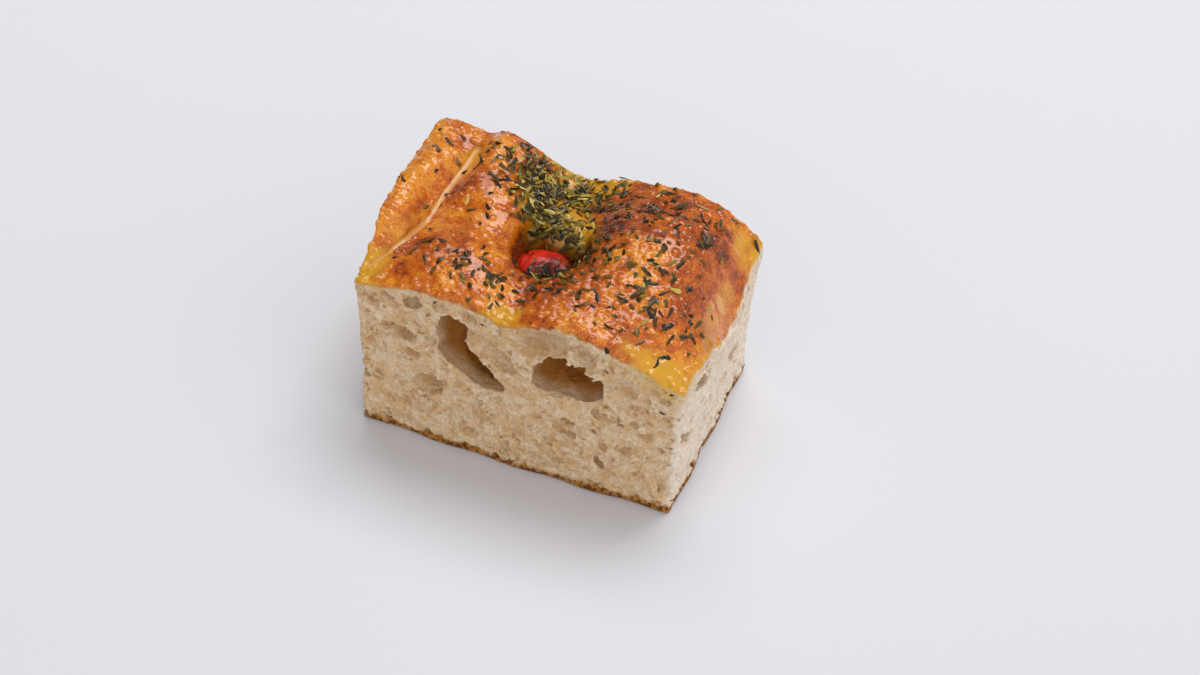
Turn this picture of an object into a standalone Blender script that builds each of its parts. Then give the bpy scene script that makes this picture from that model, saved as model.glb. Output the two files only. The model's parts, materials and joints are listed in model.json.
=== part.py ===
"""A hand-cut piece of focaccia with a roasted tomato in its dimple.

The piece is one block of open crumb. Its top is the lumpy baked crust, its four sides are cut
faces with the dough's larger gas hollows in them, and its underside is the flat baked base.
A wrinkled tomato sits in the deepest dimple of the crust.

Units are metres, +Z is up, and the origin is the middle of the block's box on the underside.
Sizes are worked out round the middle of the two long cuts, and every object is then shifted so
that the middle of the whole box comes to the origin.
The front cut face looks towards -Y, and the block's long side runs along X.
"""
import math
import random

import bmesh
import bpy
from mathutils import Matrix, Vector

MM = 0.001

# Driving sizes of the block, in millimetres.
CORNERS_BASE = ((-47.5, -33.2), (47.8, -33.2), (47.9, 32.4), (-50.5, 33.8))
CORNERS_TOP = ((-48.0, -32.4), (47.8, -32.3), (48.3, 32.4), (-53.8, 36.0))
CRUST_LEVEL = 55.0
CELLS_X = 38
CELLS_Y = 26
CELLS_Z = 11
SEAT_GAP = 0.3
BOX_MIDDLE = (-1.85, 0.7)

# How far each cut side bows outwards at its middle, low down and at the crust, in millimetres.
BOW_FRONT = (1.0, 0.0)
BOW_RIGHT = (0.3, 2.3)
BOW_BACK = (0.6, 0.6)
BOW_LEFT = (1.6, 1.8)
WAVE_DEPTH = 0.35
WAVE_LENGTH = 23.0

# Swells (+) and hollows (-) of the crust: x, y, height, spread along, spread across, turn in degrees.
SWELLS = {
    "front_left_lump": (-25, -17, 4.4, 12, 8, 8),
    "left_strip": (-49, 4, 5.8, 5.5, 22, 0),
    "left_front_corner": (-52, -36, -4.5, 11, 9, 0),
    "back_left_lump": (-32, 28, 8.0, 9, 13, 0),
    "middle_left_lump": (-22, 6, 3.4, 8, 9, 0),
    "left_middle_hollow": (-34, -2, -1.8, 6, 5, 40),
    "front_middle_lump": (12, -24, 1.6, 12, 11, 0),
    "right_lump": (25, 7, 9.4, 14, 17, -15),
    "right_lump_back": (26, 34, 2.4, 14, 8, 0),
    "front_fold": (-4, -28, -3.6, 4.5, 9, 0),
    "dimple_bowl": (-4, -1, -8.0, 8, 9, 0),
    "valley": (-6, 22, -4.6, 7, 9, 0),
    "back_saddle": (-6, 38, -1.6, 9, 7, 0),
    "right_dip": (55, 3, -21.0, 7, 15, 0),
    "front_right_fall": (48, -34, -8.4, 12, 10, 0),
    "back_right_fall": (54, 34, -6.6, 10, 9, 0),
    "left_crease": (-41, 0, -4.4, 2.6, 16, 4),
    "left_crease_back": (-38, 23, -4.8, 2.6, 8, 0),
    "left_crease_front": (-47, -22, -5.0, 3.6, 7, -25),
}

# The dimple and the tomato in it: centre, half sizes and turn about Z in degrees.
DIMPLE_CENTRE = (-4.6, 0.6, 52.0)
DIMPLE_HALF = (11.4, 10.2, 10.0)
TOMATO_CENTRE = (-5.4, -1.0, 44.6)
TOMATO_HALF = (9.6, 8.2, 5.2)
TOMATO_TURN = 12.0
WRINKLE_COUNT = 9
WRINKLE_DEPTH = 0.06

# Gas hollows in the front face: along X, up Z, half length, half height, depth, turn in degrees.
FRONT_HOLLOWS = {
    "long_hollow_top": (-19.6, 40.6, 8.0, 3.3, 9.0, 74),
    "long_hollow_foot": (-14.0, 33.2, 10.2, 4.2, 12.0, -37),
    "wide_hollow": (15.4, 38.2, 10.2, 4.7, 11.0, -3),
    "roof_hollow": (6.6, 47.2, 8.0, 3.6, 4.5, 10),
    "round_hollow": (19.4, 47.6, 3.2, 3.0, 4.5, 0),
    "long_scoop": (-7.6, 40.4, 10.0, 3.0, 3.0, -38),
    "side_scoop": (30.6, 42.2, 4.4, 2.8, 2.8, -20),
    "left_cup": (-34.6, 37.0, 4.4, 2.3, 3.6, 0),
    "left_bowl": (-26.4, 20.8, 4.8, 3.3, 3.6, 8),
}

# The other cut faces carry hollows of the same kinds, one row under the crust and one lower down.
SIDE_HOLLOW_ROWS = ((39.0, 5.0, 2.8, 5.5), (23.0, 3.4, 2.0, 3.5))
HOLLOW_SPACING = 28.0
HOLLOW_SEGMENTS = 12
HOLLOW_RINGS = 7
HOLLOW_SPIN = 0.17
HOLLOW_INSET = 0.4
HOLLOW_PULL = 0.985
CLOSE_POINTS = 0.08

CRUMB_COLOUR = (0.62, 0.48, 0.33, 1.0)
TOMATO_COLOUR = (0.36, 0.03, 0.015, 1.0)
CRUMB_ROUGHNESS = 0.9
TOMATO_ROUGHNESS = 0.25


def swell_height(x, y, swell):
    """Height in mm that one swell adds to the crust at (x, y)."""
    centre_x, centre_y, height, along, across, turn = swell
    angle = math.radians(turn)
    dx = x - centre_x
    dy = y - centre_y
    run = (math.cos(angle) * dx + math.sin(angle) * dy) / along
    rise = (math.cos(angle) * dy - math.sin(angle) * dx) / across
    return height * math.exp(-0.5 * (run * run + rise * rise))


def crust_height(x, y):
    """Height in mm of the crust over the base at (x, y)."""
    return CRUST_LEVEL + sum(swell_height(x, y, swell) for swell in SWELLS.values())


def between(corners, u, v):
    """Point in plan at u, v (each from 0 to 1) inside four corners."""
    front = [a + (b - a) * u for a, b in zip(corners[0], corners[1])]
    back = [a + (b - a) * u for a, b in zip(corners[3], corners[2])]
    return [a + (b - a) * v for a, b in zip(front, back)]


def bow(t, low_high, level):
    """Outward bow in mm at t along a side (0 to 1) and at a level from base to crust (0 to 1)."""
    low, high = low_high
    return (low + (high - low) * level * level) * 4.0 * t * (1.0 - t)


def cut_wave(along, up):
    """Slight waviness in mm that the knife leaves in a cut face."""
    return WAVE_DEPTH * math.sin(along / WAVE_LENGTH * math.tau) * math.cos(up / WAVE_LENGTH * math.pi)


def block_point(u, v, w):
    """Turn a point of the unit cube into a point of the block, in mm."""
    base = between(CORNERS_BASE, u, v)
    top = between(CORNERS_TOP, u, v)
    x, y = [a + (b - a) * w for a, b in zip(base, top)]
    side_x = 2.0 * u - 1.0
    side_y = 2.0 * v - 1.0
    x += max(side_x, 0.0) ** 3 * (bow(v, BOW_RIGHT, w) + cut_wave(y, w * CRUST_LEVEL))
    x -= max(-side_x, 0.0) ** 3 * (bow(v, BOW_LEFT, w) + cut_wave(y + 9.0, w * CRUST_LEVEL))
    y += max(side_y, 0.0) ** 3 * (bow(u, BOW_BACK, w) + cut_wave(x, w * CRUST_LEVEL))
    y -= max(-side_y, 0.0) ** 3 * (bow(u, BOW_FRONT, w) + cut_wave(x + 5.0, w * CRUST_LEVEL))
    return Vector((x, y, w * crust_height(x, y)))


def split_cube(cells):
    """Unit cube from 0 to 1 whose faces are split into the given cells along X, Y and Z."""
    mesh = bmesh.new()
    bmesh.ops.create_cube(mesh, size=1.0, matrix=Matrix.Translation((0.5, 0.5, 0.5)))
    for axis, count in enumerate(cells):
        edges = [e for e in mesh.edges if abs(e.verts[0].co[axis] - e.verts[1].co[axis]) > 0.5]
        bmesh.ops.subdivide_edges(mesh, edges=edges, cuts=count - 1, use_grid_fill=True)
    return mesh


def finish_object(name, mesh, collection, material=None):
    """Turn a bmesh in millimetres into a smooth-shaded object in metres."""
    bmesh.ops.scale(mesh, vec=(MM, MM, MM), verts=mesh.verts)
    bmesh.ops.recalc_face_normals(mesh, faces=mesh.faces)
    data = bpy.data.meshes.new(name)
    mesh.to_mesh(data)
    mesh.free()
    data.shade_smooth()
    if material:
        data.materials.append(material)
    thing = bpy.data.objects.new(name, data)
    thing.location = (-BOX_MIDDLE[0] * MM, -BOX_MIDDLE[1] * MM, 0.0)
    collection.objects.link(thing)
    return thing


def make_block(collection, material):
    """The bread block with its crust, sides and flat base, still without hollows."""
    mesh = split_cube((CELLS_X, CELLS_Y, CELLS_Z))
    for vert in mesh.verts:
        vert.co = block_point(*vert.co)
    base_faces = [f for f in mesh.faces if all(v.co.z == 0.0 for v in f.verts)]
    bmesh.ops.dissolve_faces(mesh, faces=base_faces)
    return finish_object("bread", mesh, collection, material)


def ball(half, centre, turn_axis="Z", turn=0.0, ripple=None):
    """Ellipsoid in mm, its surface shifted by an optional function of longitude and latitude."""
    mesh = bmesh.new()
    bmesh.ops.create_uvsphere(mesh, u_segments=HOLLOW_SEGMENTS, v_segments=HOLLOW_RINGS, radius=1.0)
    place_ball(mesh, half, centre, turn_axis, turn, ripple)
    return mesh


def place_ball(mesh, half, centre, turn_axis, turn, ripple):
    """Shape a unit ball into its ellipsoid and put it in place."""
    spin = Matrix.Rotation(HOLLOW_SPIN, 3, "Y") @ Matrix.Rotation(HOLLOW_SPIN, 3, "Z")
    for vert in mesh.verts:
        direction = spin @ vert.co.normalized()
        scale = 1.0
        if ripple:
            scale += ripple(math.atan2(direction.y, direction.x), math.asin(direction.z))
        vert.co = Vector([c * h * scale for c, h in zip(direction, half)])
    turned = Matrix.Translation(centre) @ Matrix.Rotation(math.radians(turn), 4, turn_axis)
    bmesh.ops.transform(mesh, matrix=turned, verts=mesh.verts)


def tomato_ripple(longitude, latitude):
    """Deep folds round the stem end of a roasted tomato, as a share of its radius."""
    folds = math.cos(WRINKLE_COUNT * longitude + 1.4 * math.sin(2.0 * longitude + 3.0 * latitude))
    slump = 0.05 * math.cos(longitude - 0.7)
    return WRINKLE_DEPTH * folds * math.cos(latitude) ** 2 * (0.6 + 0.4 * math.sin(latitude)) + slump


def tomato_shape(extra):
    """The tomato's skin, pushed out by extra millimetres."""
    mesh = bmesh.new()
    bmesh.ops.create_uvsphere(mesh, u_segments=30, v_segments=11, radius=1.0)
    half = [h + extra for h in TOMATO_HALF]
    place_ball(mesh, half, TOMATO_CENTRE, "Z", TOMATO_TURN, tomato_ripple)
    return mesh


def cut(body, name, mesh, collection):
    """Cut a closed shape out of the bread."""
    cutter = finish_object(name, mesh, collection)
    cutter.hide_render = True
    cutter.display_type = "WIRE"
    modifier = body.modifiers.new(name, "BOOLEAN")
    modifier.operation = "DIFFERENCE"
    modifier.solver = "EXACT"
    modifier.object = cutter


def join_close_points(body):
    """Merge the slivers that the cuts leave where a hollow just grazes an edge."""
    modifier = body.modifiers.new("join_close_points", "WELD")
    modifier.merge_threshold = CLOSE_POINTS * MM


def hollow_ripple(phase):
    """Uneven wall of a gas hollow, as a share of its radius."""
    def ripple(longitude, latitude):
        return 0.09 * math.sin(3.0 * longitude + phase) + 0.07 * math.sin(5.0 * latitude + 2.0 * phase)
    return ripple


def front_hollow(x, z, length, height, depth, turn):
    """A gas hollow opened by the front cut."""
    face = block_point((x - CORNERS_BASE[0][0]) / (CORNERS_BASE[1][0] - CORNERS_BASE[0][0]), 0.0, 0.6)
    centre = (x, face.y + HOLLOW_INSET, z)
    return ball((length, depth, height), centre, "Y", -turn, hollow_ripple(x))


def cut_front_hollows(body, collection):
    """Open the named gas hollows of the front face."""
    for name, sizes in FRONT_HOLLOWS.items():
        cut(body, name, front_hollow(*sizes), collection)


def cut_side_hollows(body, collection):
    """Open gas hollows of the same kinds in the right, back and left faces."""
    dice = random.Random(7)
    faces = {"right": (1.0, None, 66.0), "back": (None, 1.0, 98.0), "left": (0.0, None, 67.0)}
    for side, (fixed_u, fixed_v, side_length) in faces.items():
        count = int(side_length / HOLLOW_SPACING)
        for row, (level, length, height, depth) in enumerate(SIDE_HOLLOW_ROWS):
            for number in range(count):
                t = (number + 0.5 + dice.uniform(-0.2, 0.2)) / count
                grow = dice.uniform(0.75, 1.3)
                lift = dice.uniform(-3.0, 2.0)
                u = t if fixed_u is None else fixed_u
                v = t if fixed_v is None else fixed_v
                centre = block_point(u, v, 0.6) * HOLLOW_PULL
                centre.z = level + lift
                along = length * grow
                half = (along, depth, height * grow) if fixed_u is None else (depth, along, height * grow)
                turn_axis = "Y" if fixed_u is None else "X"
                shape = ball(half, centre, turn_axis, dice.uniform(-25.0, 25.0), hollow_ripple(t * 9.0))
                cut(body, f"{side}_hollow_{row}_{number}", shape, collection)


def make_material(name, colour, roughness):
    """A plain Principled material."""
    material = bpy.data.materials.new(name)
    material.use_nodes = True
    shader = material.node_tree.nodes["Principled BSDF"]
    shader.inputs["Base Color"].default_value = colour
    shader.inputs["Roughness"].default_value = roughness
    shader.inputs["Metallic"].default_value = 0.0
    return material


def new_collection(name):
    """A collection linked to the scene."""
    collection = bpy.data.collections.new(name)
    bpy.context.scene.collection.children.link(collection)
    return collection


def clear_scene():
    """Remove the objects that the scene starts with."""
    for thing in list(bpy.data.objects):
        bpy.data.objects.remove(thing, do_unlink=True)


def main():
    """Build the bread and its tomato."""
    clear_scene()
    parts = new_collection("focaccia")
    cutters = new_collection("focaccia_cutters")
    bread = make_block(parts, make_material("crumb", CRUMB_COLOUR, CRUMB_ROUGHNESS))
    cut(bread, "dimple", ball(DIMPLE_HALF, DIMPLE_CENTRE, ripple=hollow_ripple(0.4)), cutters)
    cut(bread, "tomato_seat", tomato_shape(SEAT_GAP), cutters)
    cut_front_hollows(bread, cutters)
    cut_side_hollows(bread, cutters)
    join_close_points(bread)
    skin = make_material("tomato_skin", TOMATO_COLOUR, TOMATO_ROUGHNESS)
    finish_object("tomato", tomato_shape(0.0), parts, skin)


main()
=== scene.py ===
"""Looks of a hand-cut block of focaccia: open crumb, oiled crust, a roasted tomato and dried herbs.

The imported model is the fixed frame. The bread is grown from the frame's bread solid as a field of
distances, in which gas holes, blisters and torn crumb are carved before it becomes a mesh again.
Lengths are millimetres in the row frame unless a name says otherwise; meshes are written in metres.
"""
from __future__ import annotations

import json
import logging
import math
from dataclasses import dataclass, field
from enum import Enum

import bmesh
import bpy
import numpy as np
import openvdb
from mathutils import Matrix, Vector
from mathutils.bvhtree import BVHTree

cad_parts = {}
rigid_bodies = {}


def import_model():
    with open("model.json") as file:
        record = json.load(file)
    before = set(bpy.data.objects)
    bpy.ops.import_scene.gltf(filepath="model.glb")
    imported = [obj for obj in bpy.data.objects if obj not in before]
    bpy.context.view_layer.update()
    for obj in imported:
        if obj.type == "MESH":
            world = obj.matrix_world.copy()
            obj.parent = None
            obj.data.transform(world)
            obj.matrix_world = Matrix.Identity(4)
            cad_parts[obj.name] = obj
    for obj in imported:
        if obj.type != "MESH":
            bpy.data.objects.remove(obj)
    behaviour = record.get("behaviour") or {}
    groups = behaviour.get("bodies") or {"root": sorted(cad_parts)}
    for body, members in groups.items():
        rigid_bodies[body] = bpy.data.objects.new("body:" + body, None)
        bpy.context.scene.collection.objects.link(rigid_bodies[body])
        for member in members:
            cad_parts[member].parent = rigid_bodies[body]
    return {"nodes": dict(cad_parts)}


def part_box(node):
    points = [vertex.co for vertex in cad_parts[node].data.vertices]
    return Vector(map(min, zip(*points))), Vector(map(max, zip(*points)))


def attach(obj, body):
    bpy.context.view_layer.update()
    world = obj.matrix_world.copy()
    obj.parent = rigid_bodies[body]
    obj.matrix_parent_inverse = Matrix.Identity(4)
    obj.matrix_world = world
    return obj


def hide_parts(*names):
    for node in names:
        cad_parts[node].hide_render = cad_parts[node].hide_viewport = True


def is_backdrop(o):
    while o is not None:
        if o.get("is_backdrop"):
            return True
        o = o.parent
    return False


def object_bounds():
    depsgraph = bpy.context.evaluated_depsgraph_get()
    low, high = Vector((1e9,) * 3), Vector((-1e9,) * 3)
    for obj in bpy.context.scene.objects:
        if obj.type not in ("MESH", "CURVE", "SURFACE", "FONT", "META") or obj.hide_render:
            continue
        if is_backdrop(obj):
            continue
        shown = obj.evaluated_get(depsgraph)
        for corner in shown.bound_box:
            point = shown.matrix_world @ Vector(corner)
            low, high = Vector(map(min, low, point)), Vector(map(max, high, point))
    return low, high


MM = 0.001
FAR = 1e9
LOG = logging.getLogger("focaccia")
Array = np.ndarray


# ---------------------------------------------------------------- small helpers


def linear(hex_code: str) -> tuple[float, float, float, float]:
    """Turn an sRGB hex colour into a linear one.

    Args:
        hex_code: six hexadecimal digits, such as "d8a060".

    Returns:
        Red, green, blue and an alpha of one.
    """
    shares = [int(hex_code[i:i + 2], 16) / 255.0 for i in (0, 2, 4)]
    lit = [s / 12.92 if s <= 0.04045 else ((s + 0.055) / 1.055) ** 2.4 for s in shares]
    return (lit[0], lit[1], lit[2], 1.0)


def add_node(tree: bpy.types.NodeTree, kind: str, settings: dict | None = None,
             inputs: dict | None = None) -> bpy.types.Node:
    """Add a shader node, set its properties, and fill or link its inputs.

    Args:
        tree: the node tree that the node joins.
        kind: the node's type name without "ShaderNode".
        settings: property names and values of the node.
        inputs: socket names or numbers, each with a value or with an output socket to link.

    Returns:
        The new node.
    """
    node = tree.nodes.new("ShaderNode" + kind)
    for name, value in (settings or {}).items():
        setattr(node, name, value)
    for name, value in (inputs or {}).items():
        if isinstance(value, bpy.types.NodeSocket):
            tree.links.new(value, node.inputs[name])
        else:
            node.inputs[name].default_value = value
    return node


def smooth_step(low: float, high: float, value: Array) -> Array:
    """Rise smoothly from 0 at low to 1 at high."""
    share = np.clip((value - low) / (high - low), 0.0, 1.0)
    return share * share * (3.0 - 2.0 * share)


class LatticeNoise:
    """Smooth random values between -1 and 1 that repeat only after a long way."""

    SIDE = 64

    def __init__(self, seed: int) -> None:
        """Fill the lattice from a seed."""
        values = np.random.default_rng(seed).uniform(-1.0, 1.0, (self.SIDE,) * 3)
        self.lattice = values.astype(np.float32)

    def _place(self, positions: Array, cell: float) -> tuple[Array, Array, Array]:
        """Find the lattice numbers on both sides of each position.

        Args:
            positions: places along one axis.
            cell: size of one swing of the noise.

        Returns:
            The number below, the number above, and the eased share of the way between them.
        """
        steps = np.asarray(positions, np.float32) / cell
        whole = np.floor(steps)
        share = steps - whole
        first = whole.astype(np.int64) % self.SIDE
        return first, (first + 1) % self.SIDE, share * share * (3.0 - 2.0 * share)

    def block(self, axes: tuple[Array, Array, Array], cell: float) -> Array:
        """Noise on a whole block of points.

        Args:
            axes: positions of the block's planes along X, Y and Z.
            cell: size of one swing of the noise.

        Returns:
            An array with one value for each point of the block.
        """
        values = self.lattice
        for number, axis in enumerate(axes):
            first, second, share = self._place(axis, cell)
            shape = [1, 1, 1]
            shape[number] = len(axis)
            share = share.reshape(shape)
            near = np.take(values, first, axis=number)
            far = np.take(values, second, axis=number)
            values = near + (far - near) * share
        return values

    def at(self, points: Array, cell: float) -> Array:
        """Noise at loose points.

        Args:
            points: an array of N points.
            cell: size of one swing of the noise.

        Returns:
            N values.
        """
        places = [self._place(points[:, number], cell) for number in range(3)]
        total = np.zeros(len(points), np.float32)
        for corner in range(8):
            picks = [(corner >> number) & 1 for number in range(3)]
            index = [place[pick] for place, pick in zip(places, picks)]
            weight = np.ones(len(points), np.float32)
            for place, pick in zip(places, picks):
                weight = weight * (place[2] if pick else 1.0 - place[2])
            total += weight * self.lattice[index[0], index[1], index[2]]
        return total

    def sum_at(self, points: Array, waves: tuple[tuple[float, float], ...]) -> Array:
        """Sum of several noises at loose points, each given by the size and height of its swings."""
        return sum(self.at(points, size) * height for size, height in waves)


def box_blur(values: Array, half_width: int, axis: int) -> Array:
    """Mean over a window along one axis, with the ends held.

    Args:
        values: any array.
        half_width: cells on each side of the middle one.
        axis: the axis to average along.

    Returns:
        An array of the same shape.
    """
    if half_width < 1:
        return values
    pad = [(0, 0)] * values.ndim
    pad[axis] = (half_width + 1, half_width)
    sums = np.cumsum(np.pad(values, pad, mode="edge"), axis=axis, dtype=np.float64)
    count = values.shape[axis]
    width = 2 * half_width + 1
    upper = np.take(sums, np.arange(width, width + count), axis=axis)
    lower = np.take(sums, np.arange(0, count), axis=axis)
    return ((upper - lower) / width).astype(np.float32)


def soften(values: Array, spread_cells: float) -> Array:
    """Blur an array in all its directions, close to a Gaussian.

    Args:
        values: any array.
        spread_cells: the Gaussian's spread, in cells.

    Returns:
        An array of the same shape.
    """
    half_width = int(round((math.sqrt(spread_cells ** 2 * 4.0 + 1.0) - 1.0) * 0.5))
    if half_width >= 1:
        for axis in range(values.ndim):
            for _ in range(3):
                values = box_blur(values, half_width, axis)
        return values
    share = spread_cells ** 2 * 0.5
    for axis in range(values.ndim):
        pad = [(0, 0)] * values.ndim
        pad[axis] = (1, 1)
        held = np.pad(values, pad, mode="edge")
        count = values.shape[axis]
        sides = np.take(held, np.arange(count), axis) + np.take(held, np.arange(2, count + 2), axis)
        values = values * (1.0 - 2.0 * share) + sides * share
    return values


def mesh_arrays(thing: bpy.types.Object) -> tuple[Array, Array]:
    """Read a mesh object.

    Args:
        thing: an object whose mesh stands unmoved in the row frame.

    Returns:
        Its points in millimetres and its triangles as rows of point numbers.
    """
    mesh = thing.data
    points = np.empty(len(mesh.vertices) * 3, np.float32)
    mesh.vertices.foreach_get("co", points)
    mesh.calc_loop_triangles()
    triangles = np.empty(len(mesh.loop_triangles) * 3, np.int32)
    mesh.loop_triangles.foreach_get("vertices", triangles)
    return points.reshape(-1, 3) / MM, triangles.reshape(-1, 3).astype(np.uint32)


def new_piece(name: str, points: Array, faces: Array, attributes: dict[str, Array],
              material: bpy.types.Material) -> bpy.types.Object:
    """Make a smooth mesh object from points in millimetres.

    Args:
        name: the piece's name.
        points: N points in millimetres.
        faces: triangles or quads as rows of point numbers.
        attributes: names and N values of float attributes on the points.
        material: the piece's finish.

    Returns:
        The new object, linked to the scene.
    """
    mesh = bpy.data.meshes.new(name)
    sides = faces.shape[1]
    mesh.vertices.add(len(points))
    mesh.vertices.foreach_set("co", (points * MM).astype(np.float32).ravel())
    mesh.loops.add(faces.size)
    mesh.loops.foreach_set("vertex_index", faces.astype(np.int32).ravel())
    mesh.polygons.add(len(faces))
    mesh.polygons.foreach_set("loop_start", np.arange(0, faces.size, sides, dtype=np.int32))
    for title, values in attributes.items():
        layer = mesh.attributes.new(title, "FLOAT", "POINT")
        layer.data.foreach_set("value", values.astype(np.float32))
    mesh.update(calc_edges=True)
    mesh.validate()
    mesh.shade_smooth()
    mesh.materials.append(material)
    thing = bpy.data.objects.new(name, mesh)
    bpy.context.scene.collection.objects.link(thing)
    return thing


def keep_largest(points: Array, faces: Array) -> tuple[Array, Array]:
    """Drop every loose scrap of a mesh but the largest body.

    Args:
        points: N points.
        faces: quads or triangles as rows of point numbers.

    Returns:
        The largest body's own points and faces.
    """
    label = np.arange(len(points))
    ends = np.concatenate([faces[:, [n, (n + 1) % faces.shape[1]]] for n in range(faces.shape[1])])
    while True:
        lowest = np.minimum(label[ends[:, 0]], label[ends[:, 1]])
        before = label.copy()
        np.minimum.at(label, ends[:, 0], lowest)
        np.minimum.at(label, ends[:, 1], lowest)
        label = label[label]
        if np.array_equal(before, label):
            break
    names, counts = np.unique(label, return_counts=True)
    kept = label == names[np.argmax(counts)]
    faces = faces[kept[faces[:, 0]]]
    return compact(points, faces)


def compact(points: Array, faces: Array) -> tuple[Array, Array]:
    """Drop the points that no face uses."""
    used, index = np.unique(faces, return_inverse=True)
    return points[used], index.reshape(faces.shape)


# ---------------------------------------------------------------- where things lie on the crust


@dataclass(frozen=True)
class Patch:
    """A soft oval area of the crust seen from above."""

    x: float
    y: float
    reach_x: float
    reach_y: float
    turn: float = 0.0
    strength: float = 1.0

    def at(self, x: Array, y: Array) -> Array:
        """Strength of the patch at places in plan, fading smoothly outwards.

        Args:
            x: places along the long side.
            y: places along the short side.

        Returns:
            One strength for each place.
        """
        angle = math.radians(self.turn)
        run = (math.cos(angle) * (x - self.x) + math.sin(angle) * (y - self.y)) / self.reach_x
        rise = (math.cos(angle) * (y - self.y) - math.sin(angle) * (x - self.x)) / self.reach_y
        return self.strength * np.exp(-0.5 * (run * run + rise * rise))


def patches_at(patches: tuple[Patch, ...], x: Array, y: Array) -> Array:
    """Sum of several patches at places in plan."""
    return sum(patch.at(x, y) for patch in patches)


def line_distance(route: tuple[tuple[float, float], ...], x: Array, y: Array) -> Array:
    """Distance in plan from places to a route of straight steps.

    Args:
        route: corners of the route.
        x: places along the long side.
        y: places along the short side.

    Returns:
        One distance for each place.
    """
    best = np.full(np.shape(x), FAR)
    for (ax, ay), (bx, by) in zip(route, route[1:]):
        run_x, run_y = bx - ax, by - ay
        share = np.clip(((x - ax) * run_x + (y - ay) * run_y) / (run_x ** 2 + run_y ** 2), 0.0, 1.0)
        best = np.minimum(best, np.hypot(x - ax - share * run_x, y - ay - share * run_y))
    return best


@dataclass(frozen=True)
class CrustMap:
    """Where the crust is dark, oily, blistered or creased, in plan."""

    crease: tuple[tuple[float, float], ...] = (
        (-36.6, 27.0), (-37.4, 19.0), (-38.2, 11.0), (-38.6, 4.0), (-39.2, -4.0),
        (-40.2, -13.0), (-42.4, -19.5), (-45.6, -25.5),
    )
    dark: tuple[Patch, ...] = (
        Patch(10.5, 10.0, 5.0, 9.0, 0, 0.44),
        Patch(15.0, 22.0, 6.0, 5.0, 0, 0.30),
        Patch(-33.0, -15.0, 7.0, 3.0, 25, 0.32),
        Patch(-36.0, -18.0, 6.0, 4.5, 8, 0.16),
        Patch(-31.0, 11.0, 3.5, 6.0, 0, 0.30),
        Patch(34.0, 14.0, 7.0, 10.0, 0, 0.22),
        Patch(10.0, -6.0, 4.0, 5.0, 0, 0.25),
        Patch(42.0, 4.0, 4.5, 12.0, 0, 0.34),
        Patch(-27.0, 30.0, 6.0, 4.0, 0, 0.06),
        Patch(5.0, -19.0, 9.0, 5.5, 0, 0.32),
        Patch(-47.0, 4.0, 4.5, 22.0, 0, -0.26),
        Patch(-30.0, 22.0, 8.0, 8.0, 0, -0.10),
        Patch(34.0, -27.0, 12.0, 5.0, -12, -0.20),
        Patch(46.0, 12.0, 3.0, 12.0, 0, -0.14),
    )
    soaked: tuple[Patch, ...] = (
        Patch(-47.0, -28.0, 5.0, 6.0, 0, 1.0),
        Patch(-41.0, -8.0, 1.6, 12.0, -8, 0.5),
        Patch(-8.0, 20.0, 9.0, 9.0, 0, 0.95),
        Patch(-2.0, 9.5, 7.0, 3.2, 0, 1.1),
        Patch(2.0, 33.0, 7.0, 4.0, 0, 1.0),
        Patch(49.0, 27.0, 5.0, 7.0, 0, 0.85),
        Patch(44.0, -29.0, 6.0, 4.0, -20, 0.85),
        Patch(35.0, -30.0, 8.0, 2.6, -12, 0.55),
        Patch(-4.0, -30.0, 5.0, 3.5, 0, 0.85),
        Patch(49.0, -14.0, 2.6, 9.0, 10, 0.6),
        Patch(-37.0, 24.0, 3.0, 7.0, 0, 0.55),
        Patch(48.0, 6.0, 2.5, 6.0, 0, 0.4),
    )
    # Small pale spots that take the crease's colour.
    pale_spots: tuple[Patch, ...] = (
        Patch(47.6, 2.4, 0.95, 1.3, 10, 1.1),
        Patch(46.2, -1.2, 0.7, 0.7, 0, 0.8),
        Patch(-24.6, 9.6, 0.9, 1.4, 0, 0.8),
    )
    blistered: tuple[Patch, ...] = (
        Patch(32.0, -12.0, 13.0, 13.0, 0, 1.0),
        Patch(-46.0, 0.0, 6.0, 20.0, 0, 0.9),
        Patch(-14.0, -27.0, 10.0, 5.0, 0, 0.6),
        Patch(18.0, 20.0, 16.0, 10.0, 0, 0.5),
        Patch(-26.0, 22.0, 9.0, 12.0, 0, 0.5),
        Patch(10.0, -22.0, 14.0, 7.0, 0, 0.6),
        Patch(42.0, 18.0, 7.0, 12.0, 0, 0.5),
    )
    oil_pools: tuple[Patch, ...] = (
        Patch(-20.0, 5.0, 6.0, 8.0, 0, 1.0),
        Patch(-31.0, -2.0, 8.0, 3.0, 35, 0.8),
        Patch(32.0, -13.0, 13.0, 12.0, 0, 1.0),
        Patch(-46.0, 2.0, 5.0, 20.0, 0, 0.9),
        Patch(20.0, -25.0, 8.0, 3.5, -12, 0.3),
        Patch(0.0, 15.0, 6.0, 5.0, 0, 0.8),
        Patch(-20.0, -27.0, 7.0, 4.0, 0, 0.4),
        Patch(28.0, 16.0, 9.0, 9.0, 0, 0.35),
    )

    def crease_at(self, x: Array, y: Array) -> Array:
        """One in the middle of the long crease, fading out; the crease is widest at the back."""
        width = 0.5 + 0.45 * smooth_step(-20.0, 26.0, y)
        return np.exp(-0.5 * (line_distance(self.crease, x, y) / width) ** 2)


# ---------------------------------------------------------------- finishes


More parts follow.
